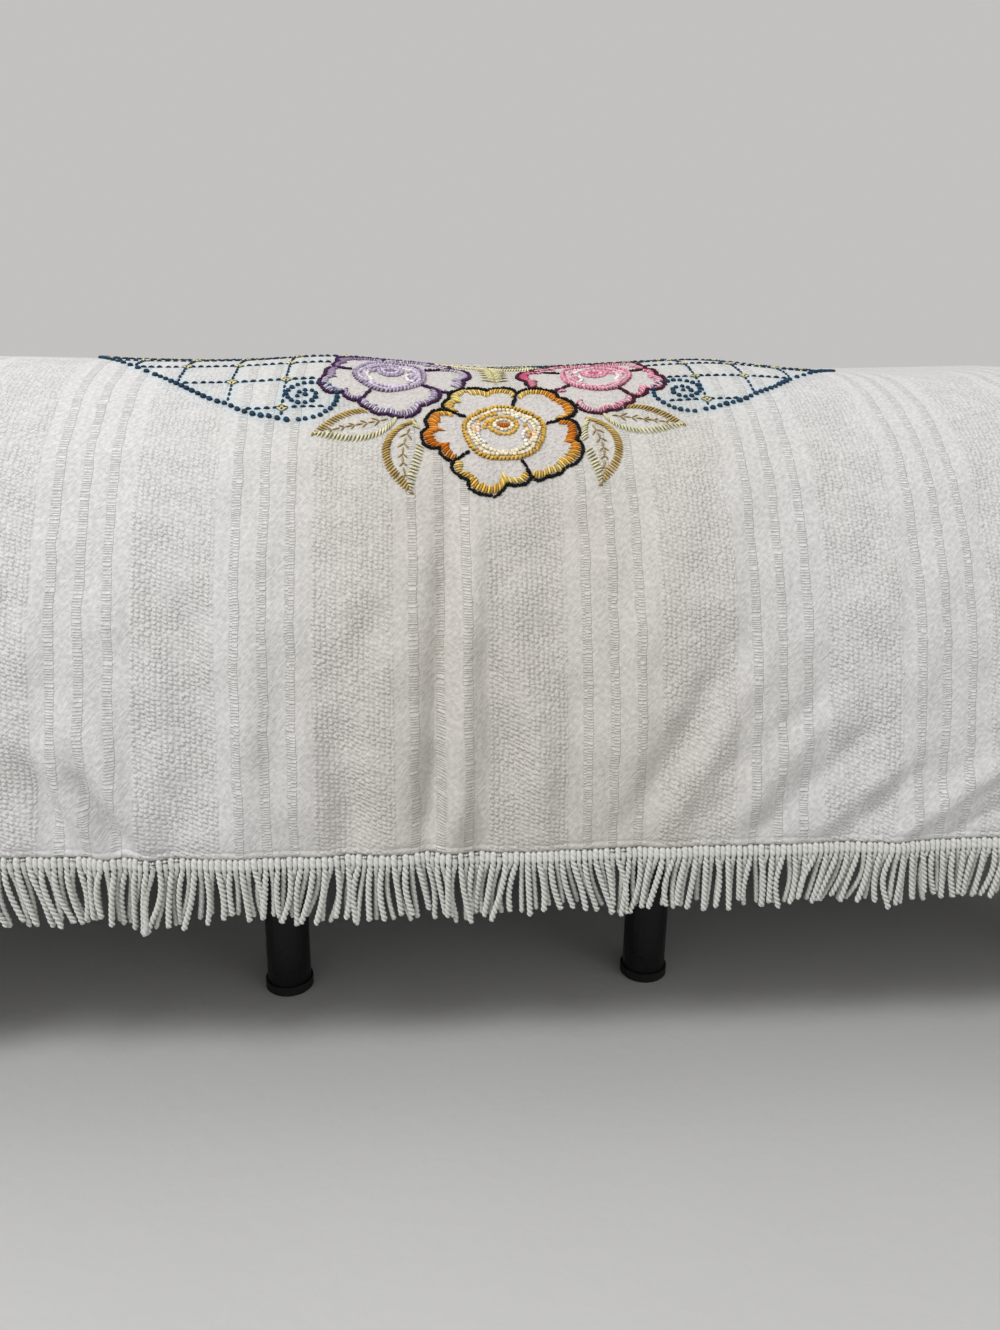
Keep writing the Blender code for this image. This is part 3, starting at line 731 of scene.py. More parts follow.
class Threads:
    """The stitches and knots of one joined piece, at flat places."""

    def __init__(self, seed):
        self.chance = np.random.default_rng(seed)
        self.stitches = []
        self.knots = []

    def tone(self, color):
        return np.clip(np.array(color) * (1 + 0.2 * (self.chance.random() - 0.5) * 2), 0, 1)

    def stitch(self, start, end, radius, color, rise=0.6):
        self.stitches.append((start, end, radius, rise, self.tone(color)))

    def knot(self, place, radius, color):
        size = radius * (1 + 0.12 * (self.chance.random() - 0.5) * 2)
        self.knots.append((place, size, self.tone(color)))

    def run(self, points, color, radius, length, spacing, slant=0, rise=0.6, uneven=0.12):
        """Stitches in a row along a polyline, each turned by slant from its way."""
        spots = resample(points, spacing)
        ways = unit(np.gradient(spots, axis=0)) if len(spots) > 1 else unit(points[-1:] - points[:1])
        for spot, way in zip(spots, ways):
            spot = spot + self.chance.normal(0, 1.3 * uneven * radius, 2)
            turned = unit(way + (slant + self.chance.normal(0, 0.1)) * np.array([-way[1], way[0]]))
            size, thick = 1 + uneven * self.chance.uniform(-1, 1, 2)
            half = turned * length * 0.5 * size
            self.stitch(spot - half, spot + half, radius * thick, color, rise)

    def knot_row(self, spots, color, radius):
        for spot in spots:
            self.knot(spot + self.chance.normal(0, 0.0003, 2), radius, color)

    def piece(self, name, material):
        kinds = ((stitch_shapes, self.stitches), (knot_shapes, self.knots))
        places, faces, dyes = join([shapes(rows) for shapes, rows in kinds if rows])
        # dye is each thread's colour with its painted shade and highlight.
        return add_object(name, places, faces, material, dye=np.insert(dyes, 3, 1, axis=1))


def tube_faces(count, rings, sides):
    """Faces of closed tubes, each with rings of sides and flat ends."""
    one = [face[1:] + face[:1] for face in band_faces(rings, sides)]
    ends = [tuple(reversed(range(sides))), tuple(range((rings - 1) * sides, rings * sides))]
    return repeated(one + ends, count, rings * sides)


def stitch_shapes(stitches):
    """Plump threads that rise from the cloth between their ends."""
    starts, ends, radii, heights, dyes = columns(stitches)
    share = np.linspace(0, 1, STITCH_RINGS)
    flat = starts[:, None] + (ends - starts)[:, None] * share[:, None]
    places, normals = cloth_frame(flat[..., 0], flat[..., 1])
    arch = np.sin(math.pi * share)
    rise = CLOTH_THICKNESS / 2 + radii[:, None] * (heights[:, None] * arch - 0.25 * (1 - arch))
    places = places + normals * rise[..., None]
    ways = unit(np.gradient(places, axis=1))
    beside = unit(np.cross(ways, normals))
    angles = np.arange(STITCH_SIDES) * TURN / STITCH_SIDES
    thick = radii[:, None] * (0.45 + 0.55 * arch**0.6)
    vertices = places[:, :, None] + spokes(angles, beside, np.cross(beside, ways)) * thick[:, :, None, None]
    # Painted shade: a thread's flanks and underside are darker, as shade where threads lie close together.
    painted_shade = 1 - FLANK_SHADE * (1 - np.clip(1.2 * np.sin(angles), 0, 1))
    colors = np.repeat(dyes[:, None, None] * painted_shade[:, None], STITCH_RINGS, axis=1)
    faces = tube_faces(len(stitches), STITCH_RINGS, STITCH_SIDES)
    return vertices.reshape(-1, 3), faces, colors.reshape(-1, 3)


def knot_shapes(knots):
    flat, radii, dyes = columns(knots)
    places, normals = cloth_frame(*flat.T)
    beside = unit(np.cross(normals, [0.31, 0.95, 0.05]))
    along = np.cross(normals, beside)
    rings = []
    for turn, (out, up) in enumerate(KNOT_PROFILE):
        swing = np.arange(KNOT_SIDES) * TURN / KNOT_SIDES + turn * 0.4
        uneven = 1 + 0.07 * np.cos(2 * swing + 0.7)
        rings.append(spokes(swing, beside, along) * (out * uneven)[:, None] + up * normals[:, None])
    rings.append(KNOT_DIMPLE * normals[:, None])
    shape = np.concatenate(rings, axis=1) * radii[:, None, None]
    vertices = places[:, None] + normals[:, None] * CLOTH_THICKNESS / 2 + shape
    pole = len(KNOT_PROFILE) * KNOT_SIDES
    last = [pole - KNOT_SIDES + side for side in range(KNOT_SIDES)]
    faces = band_faces(len(KNOT_PROFILE), KNOT_SIDES)
    faces += [(a, b, pole) for a, b in zip(last, last[1:] + last[:1])]
    faces.append(tuple(reversed(range(KNOT_SIDES))))
    # Painted shade: each ring of the knot is darkened by its share.
    painted_shade = np.append(np.repeat(KNOT_PAINTED_SHADE[:-1], KNOT_SIDES), KNOT_PAINTED_SHADE[-1])
    colors = dyes[:, None] * painted_shade[:, None]
    return vertices.reshape(-1, 3), repeated(faces, len(knots), pole + 1), colors.reshape(-1, 3)


def on_cloth(p, arc):
    """The flat place (u, v) of a place in the design."""
    p = np.asarray(p, float)
    return stack(DESIGN_U + p, CREST_Y - np.asarray(arc, float) + DESIGN_SKEW * p)


def flower_place(flower, angles, radii):
    """Flat places round a flower, by degrees clockwise from the direction of the bed's head."""
    turned = np.radians(flower.mirror * (angles + flower.turn))
    reach = radii * flower.scale
    return on_cloth(flower.p + np.sin(turned) * reach, flower.arc - np.cos(turned) * reach * flower.stretch)


def oval(flower, radius, first=0, last=360, squash=1, p=0, arc=0, count=60):
    """Flat places on part of an oval by a flower's heart, p and arc away from its middle."""
    turned = np.radians(np.linspace(first, last, count))
    reach_p = (p + np.sin(turned) * radius) * flower.mirror * flower.scale
    reach_arc = (arc - np.cos(turned) * radius * squash) * flower.scale * flower.stretch
    return on_cloth(flower.p + reach_p, flower.arc + reach_arc)


def rim_radius(angles):
    """How far the petals reach, round a flower."""
    radii = np.full(np.shape(angles), NOTCH_RADIUS)
    for angle, radius, half_width in (lobe for _, lobes in PETALS for lobe in lobes):
        apart = np.abs((angles - angle + 180) % 360 - 180)
        rise = (1 - np.clip(apart / half_width, 0, 1) ** 2.6) ** 0.5
        radii = np.maximum(radii, NOTCH_RADIUS + (radius - NOTCH_RADIUS) * rise)
    return radii


def covers(flower, places, margin):
    """Which flat places lie under a flower, or within margin of it."""
    p = places[..., 0] - DESIGN_U
    arc = CREST_Y - places[..., 1] + DESIGN_SKEW * p
    out_p, out_arc = (p - flower.p) / flower.scale, (arc - flower.arc) / (flower.scale * flower.stretch)
    angles = flower.mirror * np.degrees(np.arctan2(out_p, -out_arc)) - flower.turn
    return np.hypot(out_p, out_arc) < rim_radius(angles) + margin


def under_flowers(places, margin):
    return np.any([covers(flower, places, margin) for flower in FLOWERS], axis=0)


def sew_petal(threads, flower, number):
    starts = [start for start, _ in PETALS] + [PETALS[0][0] + 360]
    angles = np.linspace(starts[number], starts[number + 1], 160)
    edge = flower_place(flower, angles, rim_radius(angles))
    notch = flower_place(flower, angles[:1].repeat(2), np.array([NOTCH_RADIUS + 0.003, NOTCH_END]))
    for line in (edge, notch):
        threads.run(line, flower.outline, OUTLINE_RADIUS, OUTLINE_LENGTH, OUTLINE_SPACING, 0.6, 0.8, 0.2)
    spots = resample(edge, SATIN_SPACING)
    focus = flower_place(flower, angles.mean(), SATIN_FOCUS)
    dyes = np.array([flower.dyes[int(pick)] for pick in flower.petals[number]])
    stops = np.linspace(0, 1, len(dyes))
    swing = 0
    for turn, (spot, there) in enumerate(zip(spots, np.linspace(0, 1, len(spots)))):
        inward = unit(focus - spot)
        swing = 0.75 * swing + 0.25 * threads.chance.normal()
        taper = 0.65 + 0.35 * math.sin(math.pi * there) ** 0.5
        length = flower.satin * taper * (1 + 0.5 * swing + 0.16 * (threads.chance.random() - 0.5))
        start = spot + inward * 0.0016
        # Stitches side by side are painted lighter and darker by turns, as painted highlight and shade.
        dye = np.array([np.interp(there, stops, channel) for channel in dyes.T]) * SATIN_LIGHT_AND_SHADE[turn % 2]
        threads.stitch(start, start + inward * length, SATIN_RADIUS, dye, 0.9)


def ring_line(flower, radius, wave):
    """A ring round a flower's heart that swells and draws in five times."""
    angles = np.linspace(0, 360, 120)
    return flower_place(flower, angles, radius * (1 - wave * np.cos(np.radians(5 * angles - 180))))


def sew_heart(threads, flower):
    """A ring of slanted stitches, curled rows of knots like a rose's petals, and a few upright stitches."""
    threads.run(ring_line(flower, *RING), flower.ring, *RING_STITCH, 1.1 * flower.mirror, 1.2)
    dyes = {"cream": flower.cream, "white": BONE, "ring": flower.ring, "warm": flower.warm}
    rows = [(ring_line(flower, *INNER_RING), "cream")]
    rows += [(oval(flower, *shape), dye) for dye, *shape in HEART_ROWS]
    for row, dye in rows:
        threads.knot_row(resample(row, HEART_KNOT_SPACING), dyes[dye], HEART_KNOT_RADIUS)
    for step in range(-3, 4):
        middle = oval(flower, 0, p=step * 0.0019, arc=-0.01, count=1)[0]
        half = np.array([0, 0.0046 - 0.00035 * step * step])
        threads.stitch(middle - half, middle + half, 0.0012, flower.dyes[0], 1.1)


def sew_flower(flower, seed, material):
    threads = Threads(seed)
    for number in range(len(PETALS)):
        sew_petal(threads, flower, number)
    sew_heart(threads, flower)
    if flower is not FLOWERS[0]:
        ends = np.array([stitch[:2] for stitch in threads.stitches])
        hidden = covers(FLOWERS[0], ends, 0.002).any(axis=1)
        threads.stitches = [stitch for stitch, under in zip(threads.stitches, hidden) if not under]
    return threads.piece(flower.name, material)


def sew_leaf(threads, base, tip, half_width, bend, side):
    base, tip = (np.array([side * p, arc]) for p, arc in (base, tip))
    share = np.linspace(0, 1, LEAF_STEPS + 1)
    x, y = unit(tip - base)
    sideways = np.array([-y, x]) * side * (bend * np.sin(math.pi * share))[:, None]
    middle = base + (tip - base) * share[:, None] + sideways
    width = half_width * np.sin(math.pi * share**0.85) ** 0.75
    ways = unit(np.gradient(middle, axis=0))
    beside = stack(-ways[:, 1], ways[:, 0])
    for hand, first_dye, last_dye, spacing, length in LEAF_EDGES:
        spots = resample(middle + beside * (hand * side * width)[:, None], spacing)
        nearest = middle[np.argmin(np.linalg.norm(spots[:, None] - middle, axis=2), axis=1)]
        for spot, way, near in zip(spots, unit(np.gradient(spots, axis=0)), nearest):
            if under_flowers(on_cloth(*spot), 0.001):
                continue
            slanted = unit(unit(near - spot + 1e-9) * 0.85 - way * 0.53)
            end = spot + slanted * min(length, 0.8 * np.linalg.norm(near - spot) + 0.0035)
            dye = np.array(first_dye) + (np.array(last_dye) - np.array(first_dye)) * threads.chance.random()
            threads.stitch(on_cloth(*spot), on_cloth(*end), LEAF_THREAD, dye, 1)
    for there in VEIN_PLACES:
        n = int(there * LEAF_STEPS)
        if under_flowers(on_cloth(*middle[n]), 0.006):
            continue
        for hand in (-1, 0, 1):
            way = unit(ways[n] + 0.85 * hand * beside[n]) if hand else -ways[n]
            end = middle[n] + way * (0.0085 if hand == 0 else 0.0105 * (1.2 - there))
            threads.stitch(on_cloth(*middle[n]), on_cloth(*end), VEIN_THREAD, VEIN, 0.7)


def sew_leaves(material):
    threads = Threads(5)
    for side in (-1, 1):
        for leaf in LEAVES:
            sew_leaf(threads, *leaf, side)
    for arc in SPRIG_ARCS:
        for side in (-1, 1):
            for out, up, dye in SPRIG_SPRAYS:
                threads.stitch(on_cloth(0, arc), on_cloth(side * out, arc - up), LEAF_THREAD, dye, 0.9)
    threads.run(on_cloth([0, 0], SPRIG_STEM), LIGHT_BROWN, *STEM_STITCH)
    for p in np.arange(-LEVEL_REACH, LEVEL_REACH, LEVEL_SPACING):
        for row in LEVEL_ROWS:
            arcs = np.array(row) - LEVEL_LIFT * abs(p) / LEVEL_REACH
            dye = IVORY if threads.chance.random() < 0.4 else PALE_YELLOW
            threads.stitch(*on_cloth([p, p + math.copysign(LEVEL_LEAN, p)], arcs), SATIN_RADIUS, dye, 0.9)
    return threads.piece("leaves", material)


def scroll_points():
    """A spiral from the border's inner end to the scroll's middle."""
    centre, first = np.array(SCROLL_CENTRE), np.array(BORDER[0])
    share = np.linspace(0, 1, 120)
    angles = math.atan2(*(first - centre)) - share * SCROLL_TURNS * 2 * math.pi
    radii = SCROLL_INNER + (np.linalg.norm(first - centre) - SCROLL_INNER) * (1 - share) ** 2.2
    return centre + stack(np.sin(angles) * radii, np.cos(angles) * radii)


def in_quarter(points, side, far):
    """A line of the design's near right quarter, in the quarter on a side, near or far."""
    p, arc = points.T
    return stack(side * p, 2 * DESIGN_ARC - arc if far else arc)


def thin_out(places):
    """Drops every other knot of a row where it turns along the bed, beyond the crest."""
    kept = [places[0]]
    for place in places[1:]:
        far = abs(place[0] - kept[-1][0]) > KNOT_APART or math.dist(place, kept[-1]) > 1.9 * KNOT_SPACING
        if far or place[1] <= CREST_Y - KNOTS_CLOSE_FROM:
            kept.append(place)
    return kept


def sew_blue(material):
    threads = Threads(3)
    marks = []
    lines = (
        (BORDER_LINE, KNOT_SPACING, KNOT_RADIUS),
        (scroll_points()[1:], SCROLL_KNOT_SPACING, SCROLL_KNOT_RADIUS),
    )
    for quarter in QUARTERS:
        for points, spacing, radius in lines:
            placed = on_cloth(*in_quarter(points, *quarter).T)
            threads.knot_row(thin_out(resample(placed, spacing)), BLUE, radius)
            marks.append(resample(placed, 0.006))
        centre = in_quarter(np.array([SCROLL_CENTRE]), *quarter)[0]
        threads.knot(on_cloth(*centre), SCROLL_KNOT_RADIUS, BLUE)
    for spacing, runs in zip(RUN_SPACINGS, lattice_runs()):
        for points in runs:
            threads.run(points, BLUE, RUN_RADIUS, RUN_LENGTH, spacing)
            marks.append(resample(points, 0.008))
    return threads.piece("blue_knots_and_lattice", material), np.vstack(marks)


def lattice_outline():
    """The lattice's outline in the design, once round."""
    border = BORDER_LINE - np.array([0.002, 0.003])
    quarter = np.vstack([[[0, border[:, 1].max()]], border])
    turns = ((-1, False, -1), (1, False, 1), (1, True, -1), (-1, True, 1))
    return np.vstack([in_quarter(quarter, side, far)[::step] for side, far, step in turns])


def in_lattice(points):
    """Which places in the design are inside its border and clear of the flowers and their ground."""
    p, arc = points.T
    x, y = p[:, None], arc[:, None]
    outline = lattice_outline()
    (x0, y0), (x1, y1) = outline.T, np.roll(outline, -1, axis=0).T
    crosses = (y0 > y) != (y1 > y)
    with np.errstate(divide="ignore", invalid="ignore"):
        at = x0 + (y - y0) / (y1 - y0) * (x1 - x0)
    inside = np.sum(crosses & (x < at), axis=1) % 2 == 1
    for half_width, first_arc in GROUNDS:
        inside = inside & ((np.abs(p) > half_width) | (arc < first_arc))
    return inside & ~under_flowers(on_cloth(p, arc), 0.004)


def lattice_runs():
    """The flat stretches of the lattice's lines across the bed, then of those along it."""
    across = np.linspace(-0.5, 0.5, 500)  # these lines reach past the border, and are cut to what it holds
    along = np.linspace(DESIGN_ARC - 0.45, DESIGN_ARC + 0.45, 460)
    for lines in ([stack(across, arc) for arc in LATTICE_ROWS], [stack(p, along) for p in LATTICE_COLUMNS]):
        runs = []
        for line in lines:
            keep = in_lattice(line)
            breaks = np.flatnonzero(np.diff(keep)) + 1
            pairs = zip(np.split(line, breaks), np.split(keep, breaks))
            runs += [on_cloth(*run.T) for run, kept in pairs if kept[0] and len(run) > 4]
        yield runs


def sew_crosses(material):
    """A small yellow cross in a diamond wherever two lattice lines meet."""
    threads = Threads(8)
    places = np.array([(p, arc) for p in LATTICE_COLUMNS for arc in LATTICE_ROWS])
    for place in on_cloth(*places[in_lattice(places)].T):
        for way in CROSS_WAYS:
            half = np.array(way) * CROSS_HALF
            threads.stitch(place - half, place + half, CROSS_RADIUS, PALE_YELLOW, 1.8)
        for x, y in DIAMOND_SIDES:
            middle = place + np.array([x, y]) * DIAMOND_REACH
            half = np.array([-y, x]) * DIAMOND_HALF
            threads.stitch(middle - half, middle + half, DIAMOND_RADIUS, PALE_YELLOW, 1.2)
    return threads.piece("lattice_crosses", material)


# ---- the spread ----

FOOT_COLUMNS = 224
CORNER_COLUMNS = 72
SIDE_ROWS = 32
DROP_ROWS = 84
HEM_BAND_START = 0.016
HEM_ROWS = (0.0105, 0.0085, 0.007, 0.006, 0.005, 0.0038, 0)  # closer rows of faces above the hem


def spread_patches():
    """The cloth's flat grids: the top, the foot drop, the sides and the corners, all facing up."""
    xs = np.linspace(-CREST_X, CREST_X, FOOT_COLUMNS + 1)
    ys = CREST_Y + (SPREAD_HEAD_Y - CREST_Y) * np.linspace(0, 1, SIDE_ROWS + 1) ** 1.35
    arcs = np.append(np.linspace(0, HEM_ARC - HEM_BAND_START, DROP_ROWS), HEM_ARC - np.array(HEM_ROWS))
    turns = np.linspace(0, 1, CORNER_COLUMNS + 1) * math.pi / 2
    for us, vs in ((xs, ys), (xs, CREST_Y - arcs[::-1]), (CREST_X + arcs, ys), (-CREST_X - arcs[::-1], ys)):
        yield np.meshgrid(us, vs)
    for side in (1, -1):
        spin, reach = np.meshgrid(turns[::side], arcs[::-1])
        yield side * (CREST_X + reach * np.sin(spin)), CREST_Y - reach * np.cos(spin)


def make_bedspread(material, blue_marks):
    patches = (stack(us, vs) for us, vs in spread_patches())
    flat, faces = join([(patch.reshape(-1, 2), band_faces(*patch.shape[:2], False)) for patch in patches])
    microns = np.round(flat * 1e6).astype(np.int64)
    _, kept, welds = np.unique(microns, axis=0, return_index=True, return_inverse=True)
    flat = flat[kept]
    # Where patches meet, their corners are one, and faces that shrink to a line go.
    faces = welds.ravel()[faces].tolist()
    faces = [[corner for n, corner in enumerate(face) if corner != face[n - 1]] for face in faces]
    faces = [face for face in faces if len(face) > 2]
    spread = add_object(
        "bedspread_cloth", drape(*flat.T), faces, material,
        flat=np.insert(flat, 2, 0, axis=1), bleed=bleed_at(flat, blue_marks), petal=petal_ground(flat),
    )
    thicken = spread.modifiers.new("Thickness", "SOLIDIFY")
    thicken.thickness = CLOTH_THICKNESS
    thicken.offset = 0
    return spread


def bleed_at(flat, marks):
    """How much blue has run into the cloth, from the nearest blue stitches."""
    amount = np.zeros(len(flat))
    low, high = marks.min(axis=0) - BLEED_MARGIN, marks.max(axis=0) + BLEED_MARGIN
    near = np.flatnonzero(np.all((flat > low) & (flat < high), axis=1))
    for chunk in np.array_split(near, len(near) // 2000):
        gaps = np.linalg.norm(flat[chunk, None] - marks, axis=2)
        amount[chunk] = np.minimum(np.sum(bell(gaps, BLEED_REACH), axis=1) * BLEED_EACH, BLEED_MOST)
    return amount


def petal_ground(flat):
    """Where the cloth inside the petals is whiter."""
    amount = np.zeros(len(flat))
    for flower in FLOWERS:
        away = flat - on_cloth(flower.p, flower.arc)
        gap = np.hypot(away[:, 0], away[:, 1] / flower.stretch)
        amount = np.maximum(amount, ease((PETAL_GROUND * flower.scale - gap) / 0.01))
    return amount * 0.85


# ---- the fringe ----

CORD_PITCH = 0.0056
CORD_RADIUS = 0.0031
WAIST = 0.52  # a cord is two strands twisted together, and its waist is this share as thick
HEADER_WAIST = 0.9
HEADER_HEIGHT = 0.0118
HEADER_FLARE = 0.002
HEADER_SWELL = 0.05
HEADER_PINCH = 0.22  # a row of stitches draws the cords in below the header
HEM_GAP = 0.0004
FREE_LENGTH = 0.056
TWIST_PITCH = 0.0104
LENGTH_SHARES = (0.9, 1.08)  # the cords' lengths vary by chance, and slowly along the hem
LENGTH_WAVE = 0.003
LEAN_WAVE = 0.0095  # neighbours lean together, and each a little by itself
LEAN_OWN = 0.0034
CURL = 0.0024
TIP_OUT = 0.0016  # how far the tips stand out or in
LAYER = 0.0022
TAPE_THICKNESS = 0.001
TAPE_BACK = 0.0026
# The tape behind the cords is painted this much darker, as shade.
TAPE_SHADE = 0.2
# A part, and the rings and sides of its cords' tubes in front and behind. The cords lie there by turns.
FRINGE_RUNS = (
    ("left", (34, 4), (22, 4)), ("corner_left", (38, 4), (26, 4)), ("foot", (82, 8), (42, 5)),
    ("corner_right", (38, 4), (26, 4)), ("right", (34, 4), (22, 4)),
)
CORNER_LENGTHS = 3


def hem_flat(part):
    """Flat places along one part of the hem, from the head down the left, along the foot and up the right."""
    share = np.linspace(0, 1, 400)
    if part == "foot":
        return -CREST_X + 2 * CREST_X * share, CREST_Y - HEM_ARC
    side = -1 if "left" in part else 1
    share = share if side > 0 else 1 - share
    if part.startswith("corner"):
        turns = share * math.pi / 2
        return side * (CREST_X + HEM_ARC * np.sin(turns)), CREST_Y - HEM_ARC * np.cos(turns)
    return side * (CREST_X + HEM_ARC), CREST_Y + (SPREAD_HEAD_Y - CREST_Y) * share


def smooth_noise(chance, count, reach):
    """Uneven values that change slowly from one cord to the next."""
    raw = chance.normal(size=count + 6 * reach)
    weights = bell(np.arange(-3 * reach, 3 * reach + 1), reach)
    smooth = np.convolve(raw, weights / np.sqrt(np.sum(weights**2)), mode="same")
    return smooth[3 * reach : 3 * reach + count]


def cord_paths(chance, spots, ways, outward, rings):
    """Each cord's line from its top in the header to its tip."""
    count = len(spots)
    length = HEADER_HEIGHT + FREE_LENGTH * chance.uniform(*LENGTH_SHARES, count)
    length = length + LENGTH_WAVE * smooth_noise(chance, count, 4)
    down = length[:, None] * np.linspace(0, 1, rings) ** 0.85  # the rings stand closer below the header
    free = np.clip((down - HEADER_HEIGHT) / FREE_LENGTH, 0, 1.3)
    lean = (LEAN_WAVE * smooth_noise(chance, count, 6) + LEAN_OWN * chance.normal(size=count))[:, None]
    curl = (CURL * chance.normal(size=count))[:, None]
    sway = lean * free**1.3 + curl * np.sin(math.pi * np.clip(free, 0, 1)) * (free > 0)
    layer = np.where(np.arange(count) % 2 == 0, 1.0, -1.0) * LAYER * chance.uniform(0.75, 1.15, count)
    out = HEADER_FLARE * ease(down / HEADER_HEIGHT) + layer[:, None] * ease(free / 0.22)
    out = out + (TIP_OUT * chance.normal(size=count))[:, None] * free**2
    drop = down - 0.5 * lean**2 / FREE_LENGTH * free + HEM_GAP - CORD_RADIUS * 0.15
    paths = spots[:, None] + ways[:, None] * sway[..., None] + outward[:, None] * out[..., None]
    return paths + np.array([0, 0, -1]) * drop[..., None]


def twisted_cords(paths, outward, sides, chance):
    """Cords of two twisted strands along paths, with how deep each vertex lies in a groove, for the painted
    shade there.
    """
    count, rings, _ = paths.shape
    tangents = unit(np.gradient(paths, axis=1))
    beside = unit(np.cross(tangents, outward[:, None]))
    steps = np.linalg.norm(np.diff(paths, axis=1), axis=2)
    along = np.hstack([np.zeros((count, 1)), steps.cumsum(axis=1)])
    spin = chance.uniform(0, TURN, count)[:, None] + TURN * along / TWIST_PITCH
    in_header = ease((HEADER_HEIGHT + 0.002 - along) / 0.004)
    thick = CORD_RADIUS * chance.uniform(0.92, 1.08, count)[:, None]
    rounding = np.clip(np.minimum(along, along[:, -1:] - along) / CORD_RADIUS + 0.1, 0, 1)
    thick = thick * np.sqrt(1 - (1 - rounding) ** 2)
    thick = thick * (1 + HEADER_SWELL * in_header - HEADER_PINCH * bell(along - HEADER_HEIGHT, 0.0012))
    waist = (WAIST + (HEADER_WAIST - WAIST) * in_header)[..., None]
    around = np.arange(sides) * TURN / sides
    strand = np.abs(np.cos(around))
    reach = thick[..., None] * (waist + (1 - waist) * strand)
    ways = spokes(around + spin[..., None], beside, np.cross(beside, tangents))
    vertices = paths[:, :, None] + ways * reach[..., None]
    # Painted shade: how much darker the grooves between strands are, less so in the header.
    groove = (1 - strand) * (1 - 0.5 * in_header[..., None])
    return vertices.reshape(-1, 3), tube_faces(count, rings, sides), groove.ravel()


def header_tape(spots, outward):
    """The thin strip behind the cords' tops, to which they are sewn."""
    top = spots - np.array([0, 0, HEM_GAP]) - outward * TAPE_BACK
    low = top + outward * HEADER_FLARE * 0.8 - np.array([0, 0, HEADER_HEIGHT * 0.92])
    thick = outward * TAPE_THICKNESS
    corners = np.stack([top, top + thick, low + thick, low], axis=1).reshape(-1, 3)
    count = len(corners)
    faces = band_faces(len(spots), 4) + [(3, 2, 1, 0), tuple(range(count - 4, count))]
    return corners, faces, np.full(count, TAPE_SHADE)


def make_fringes(material):
    pieces = []
    for seed, (part, *tubes) in enumerate(FRINGE_RUNS, 21):
        spots = resample(drape(*hem_flat(part)), CORD_PITCH)
        ways = unit(np.gradient(spots, axis=0) * np.array([1, 1, 0]))
        outward = stack(ways[:, 1], -ways[:, 0], 0)
        chance = np.random.default_rng(seed + 50)
        shapes = [header_tape(spots, outward)]
        for layer, (rings, sides) in enumerate(tubes):
            paths = cord_paths(np.random.default_rng(seed), spots, ways, outward, rings)
            shapes.append(twisted_cords(paths[layer::2], outward[layer::2], sides, chance))
        places, faces, grooves = join(shapes)
        cords = add_object("fringe_cords_" + part, places, faces, material, groove=grooves)
        nodes = ["fringe_" + part]
        if part.startswith("corner"):
            nodes = [f"fringe_{part}_{n + 1}" for n in range(CORNER_LENGTHS)]
        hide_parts(*nodes)
        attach(cords, "root")
        pieces.append(cords)
    return pieces


# ---- the mattress ----

MATTRESS_SECTION = (
    (0.42, 0.696), (0.345, 0.6945), (0.217, 0.679), (0.14, 0.647), (0.09, 0.605), (0.05, 0.547),
    (0.03, 0.49), (0.03, 0.4203),
)
PIPING_HEIGHTS = (0.6, 0.432)
PIPING_RADIUS = 0.0032
MATTRESS_ROWS = 90
MATTRESS_TOP_ROWS = np.linspace(0.02, 0.97, 18)[:, None]  # rings on its top, as shares of the crest's
MATTRESS_SIDE_STEP = 0.04


def mattress_ring():
    """Spokes once round the mattress: anchor x and y, side, end and turn."""
    head_y = HEAD_Y - CREST_INSET * HEAD_SHARE
    across = np.arange(-CREST_X, CREST_X, MATTRESS_SIDE_STEP)[1:]
    along = np.arange(CREST_Y, head_y, MATTRESS_SIDE_STEP)[1:]
    turns = np.linspace(0, 1, 17)
    ring = []
    for side, end in ((-1, -1), (1, -1), (1, 1), (-1, 1)):
        corner_x, corner_y = side * CREST_X, CREST_Y if end < 0 else head_y
        ring += [(corner_x, corner_y, side, end, turn) for turn in turns[:: -side * end]]
        if side == end:
            ring += [(x, corner_y, side, end, 0) for x in across[::-side]]
        else:
            ring += [(corner_x, y, side, end, 1) for y in along[::-end]]
    return np.array(ring).T


def make_mattress(material):
    """A soft block with a piped edge above and below its side panel."""
    curve = smooth_curve(MATTRESS_SECTION)
    spots = distances(curve)
    steps = np.linspace(0, spots[-1], MATTRESS_ROWS)[:, None]
    inset, height = (np.interp(steps, spots, column) for column in curve.T)
    x, y, side, end, turn = mattress_ring()
    across, along, out_x, out_y = rounded_corner(CREST_INSET - inset, turn)
    crest_z, low_z = MATTRESS_SECTION[0][1], MATTRESS_SECTION[-1][1]
    high = (top_height(y, crest_z) - low_z) / (crest_z - low_z)
    piping = sum(bell(height - level, PIPING_RADIUS * 0.45) for level in PIPING_HEIGHTS) * PIPING_RADIUS
    at_x = x + side * (across + piping * out_x)
    at_y = y + end * (along * np.where(end > 0, HEAD_SHARE, 1.0) + piping * out_y)
    at_z = low_z + (height - low_z) * high + swell_at(at_x, steps, y)
    top_x, top_y = x * MATTRESS_TOP_ROWS, y.mean() + (y - y.mean()) * MATTRESS_TOP_ROWS
    top = stack(top_x, top_y, top_height(top_y, crest_z) + swell_at(top_x, 0, top_y))
    places = np.vstack([top, stack(at_x, at_y, at_z)])
    rows, count, _ = places.shape
    faces = [face[:1] + face[:0:-1] for face in band_faces(rows, count)]
    faces += [tuple(range(count)), tuple(reversed(range((rows - 1) * count, rows * count)))]
    return add_object("mattress_block", places, faces, material)


# ---- everything else ----

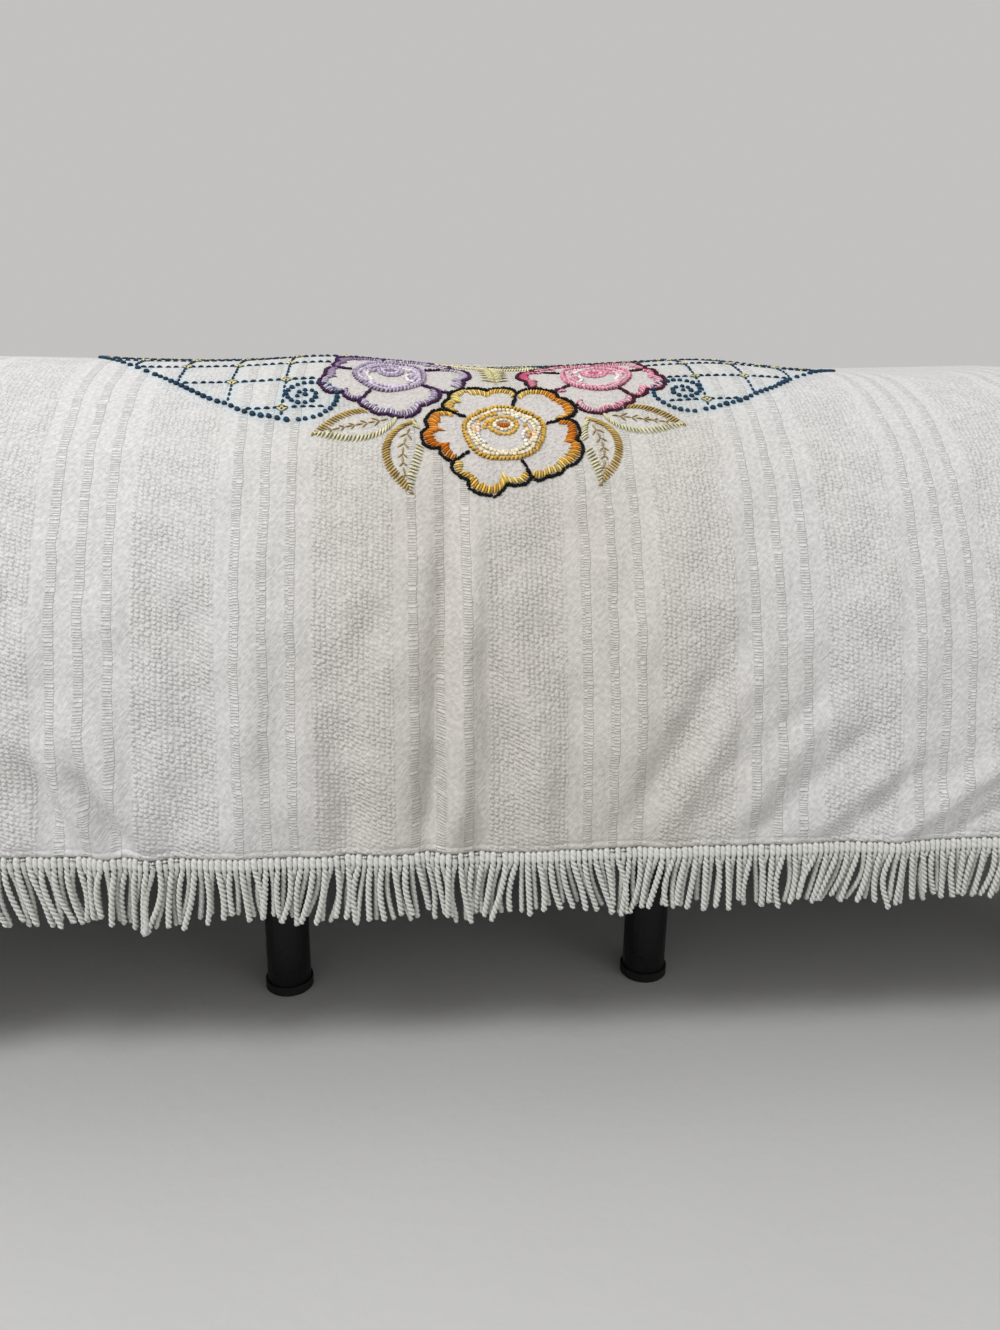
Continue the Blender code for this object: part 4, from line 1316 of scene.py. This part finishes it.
# Each slot's material, and the nodes that are shown as they are.
KEPT_NODES = {
    "base": ("base_cloth", ["base_left", "base_right"]),
    "leg": ("leg_paint", [f"leg_{row}_{n}" for row in ("foot", "head") for n in range(1, 5)]),
    "cap": ("cap_rubber", [f"cap_{row}_{n}" for row in ("foot", "head") for n in range(1, 5)]),
}


def dress_kept_nodes():
    for kind, (material_name, names) in KEPT_NODES.items():
        material = plain_material(material_name)
        for name in names:
            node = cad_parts[name]
            for material_slot in node.material_slots:
                material_slot.material = material


def make_floor():
    corners = [(-30, -30, 0), (30, -30, 0), (30, 30, 0), (-30, 30, 0)]
    floor = add_object("floor", corners, [(0, 1, 2, 3)], plain_material("floor"), smooth=False)
    floor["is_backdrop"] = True


# Each is a place, what it aims at, its size and its power.
LAMPS = {
    "key": ((-2.4, -2.7, 3.9), (0.15, -0.8, 0.45), 1.2, 127),
    "fill": ((3.4, -3.4, 1.8), (0.2, -0.8, 0.4), 3, 22),
    "top": ((0.4, 1.0, 4.2), (0.0, -0.2, 0.5), 3, 34),
}
AIR = (0.905, 0.893, 0.872)
AIR_STRENGTH = 0.6


def make_light():
    for name, (place, target, size, power) in LAMPS.items():
        data = bpy.data.lights.new(name, "AREA")
        data.size = size
        data.energy = power
        turn = (Vector(target) - Vector(place)).to_track_quat("-Z", "Y").to_matrix().to_4x4()
        add_to_scene(name, data).matrix_world = Matrix.Translation(place) @ turn
    world = bpy.data.worlds.new("air")
    world.use_nodes = True
    background = world.node_tree.nodes["Background"]
    background.inputs["Color"].default_value = (*AIR, 1)
    background.inputs["Strength"].default_value = AIR_STRENGTH
    bpy.context.scene.world = world


def write_sizes():
    boxes = {"cad": CAD_BOX, "visual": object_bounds()}
    plain = {name: [[float(x) for x in corner] for corner in box] for name, box in boxes.items()}


def main():
    make_camera()
    bpy.context.scene.view_settings.view_transform = "Standard"
    thread = thread_material()
    sewn = [sew_flower(flower, 31 + n, thread) for n, flower in enumerate(FLOWERS)]
    sewn.append(sew_leaves(thread))
    blue, blue_marks = sew_blue(thread)
    sewn += [blue, sew_crosses(thread)]
    for piece in sewn:
        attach(piece, "root")

    fringes = make_fringes(plain_material("cord"))

    mattress = make_mattress(plain_material("ticking"))
    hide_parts("mattress")
    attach(mattress, "root")

    spread = make_bedspread(cloth_material(), blue_marks)
    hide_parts("bedspread")
    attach(spread, "root")

    dress_kept_nodes()
    make_floor()
    make_light()


main()
write_sizes()
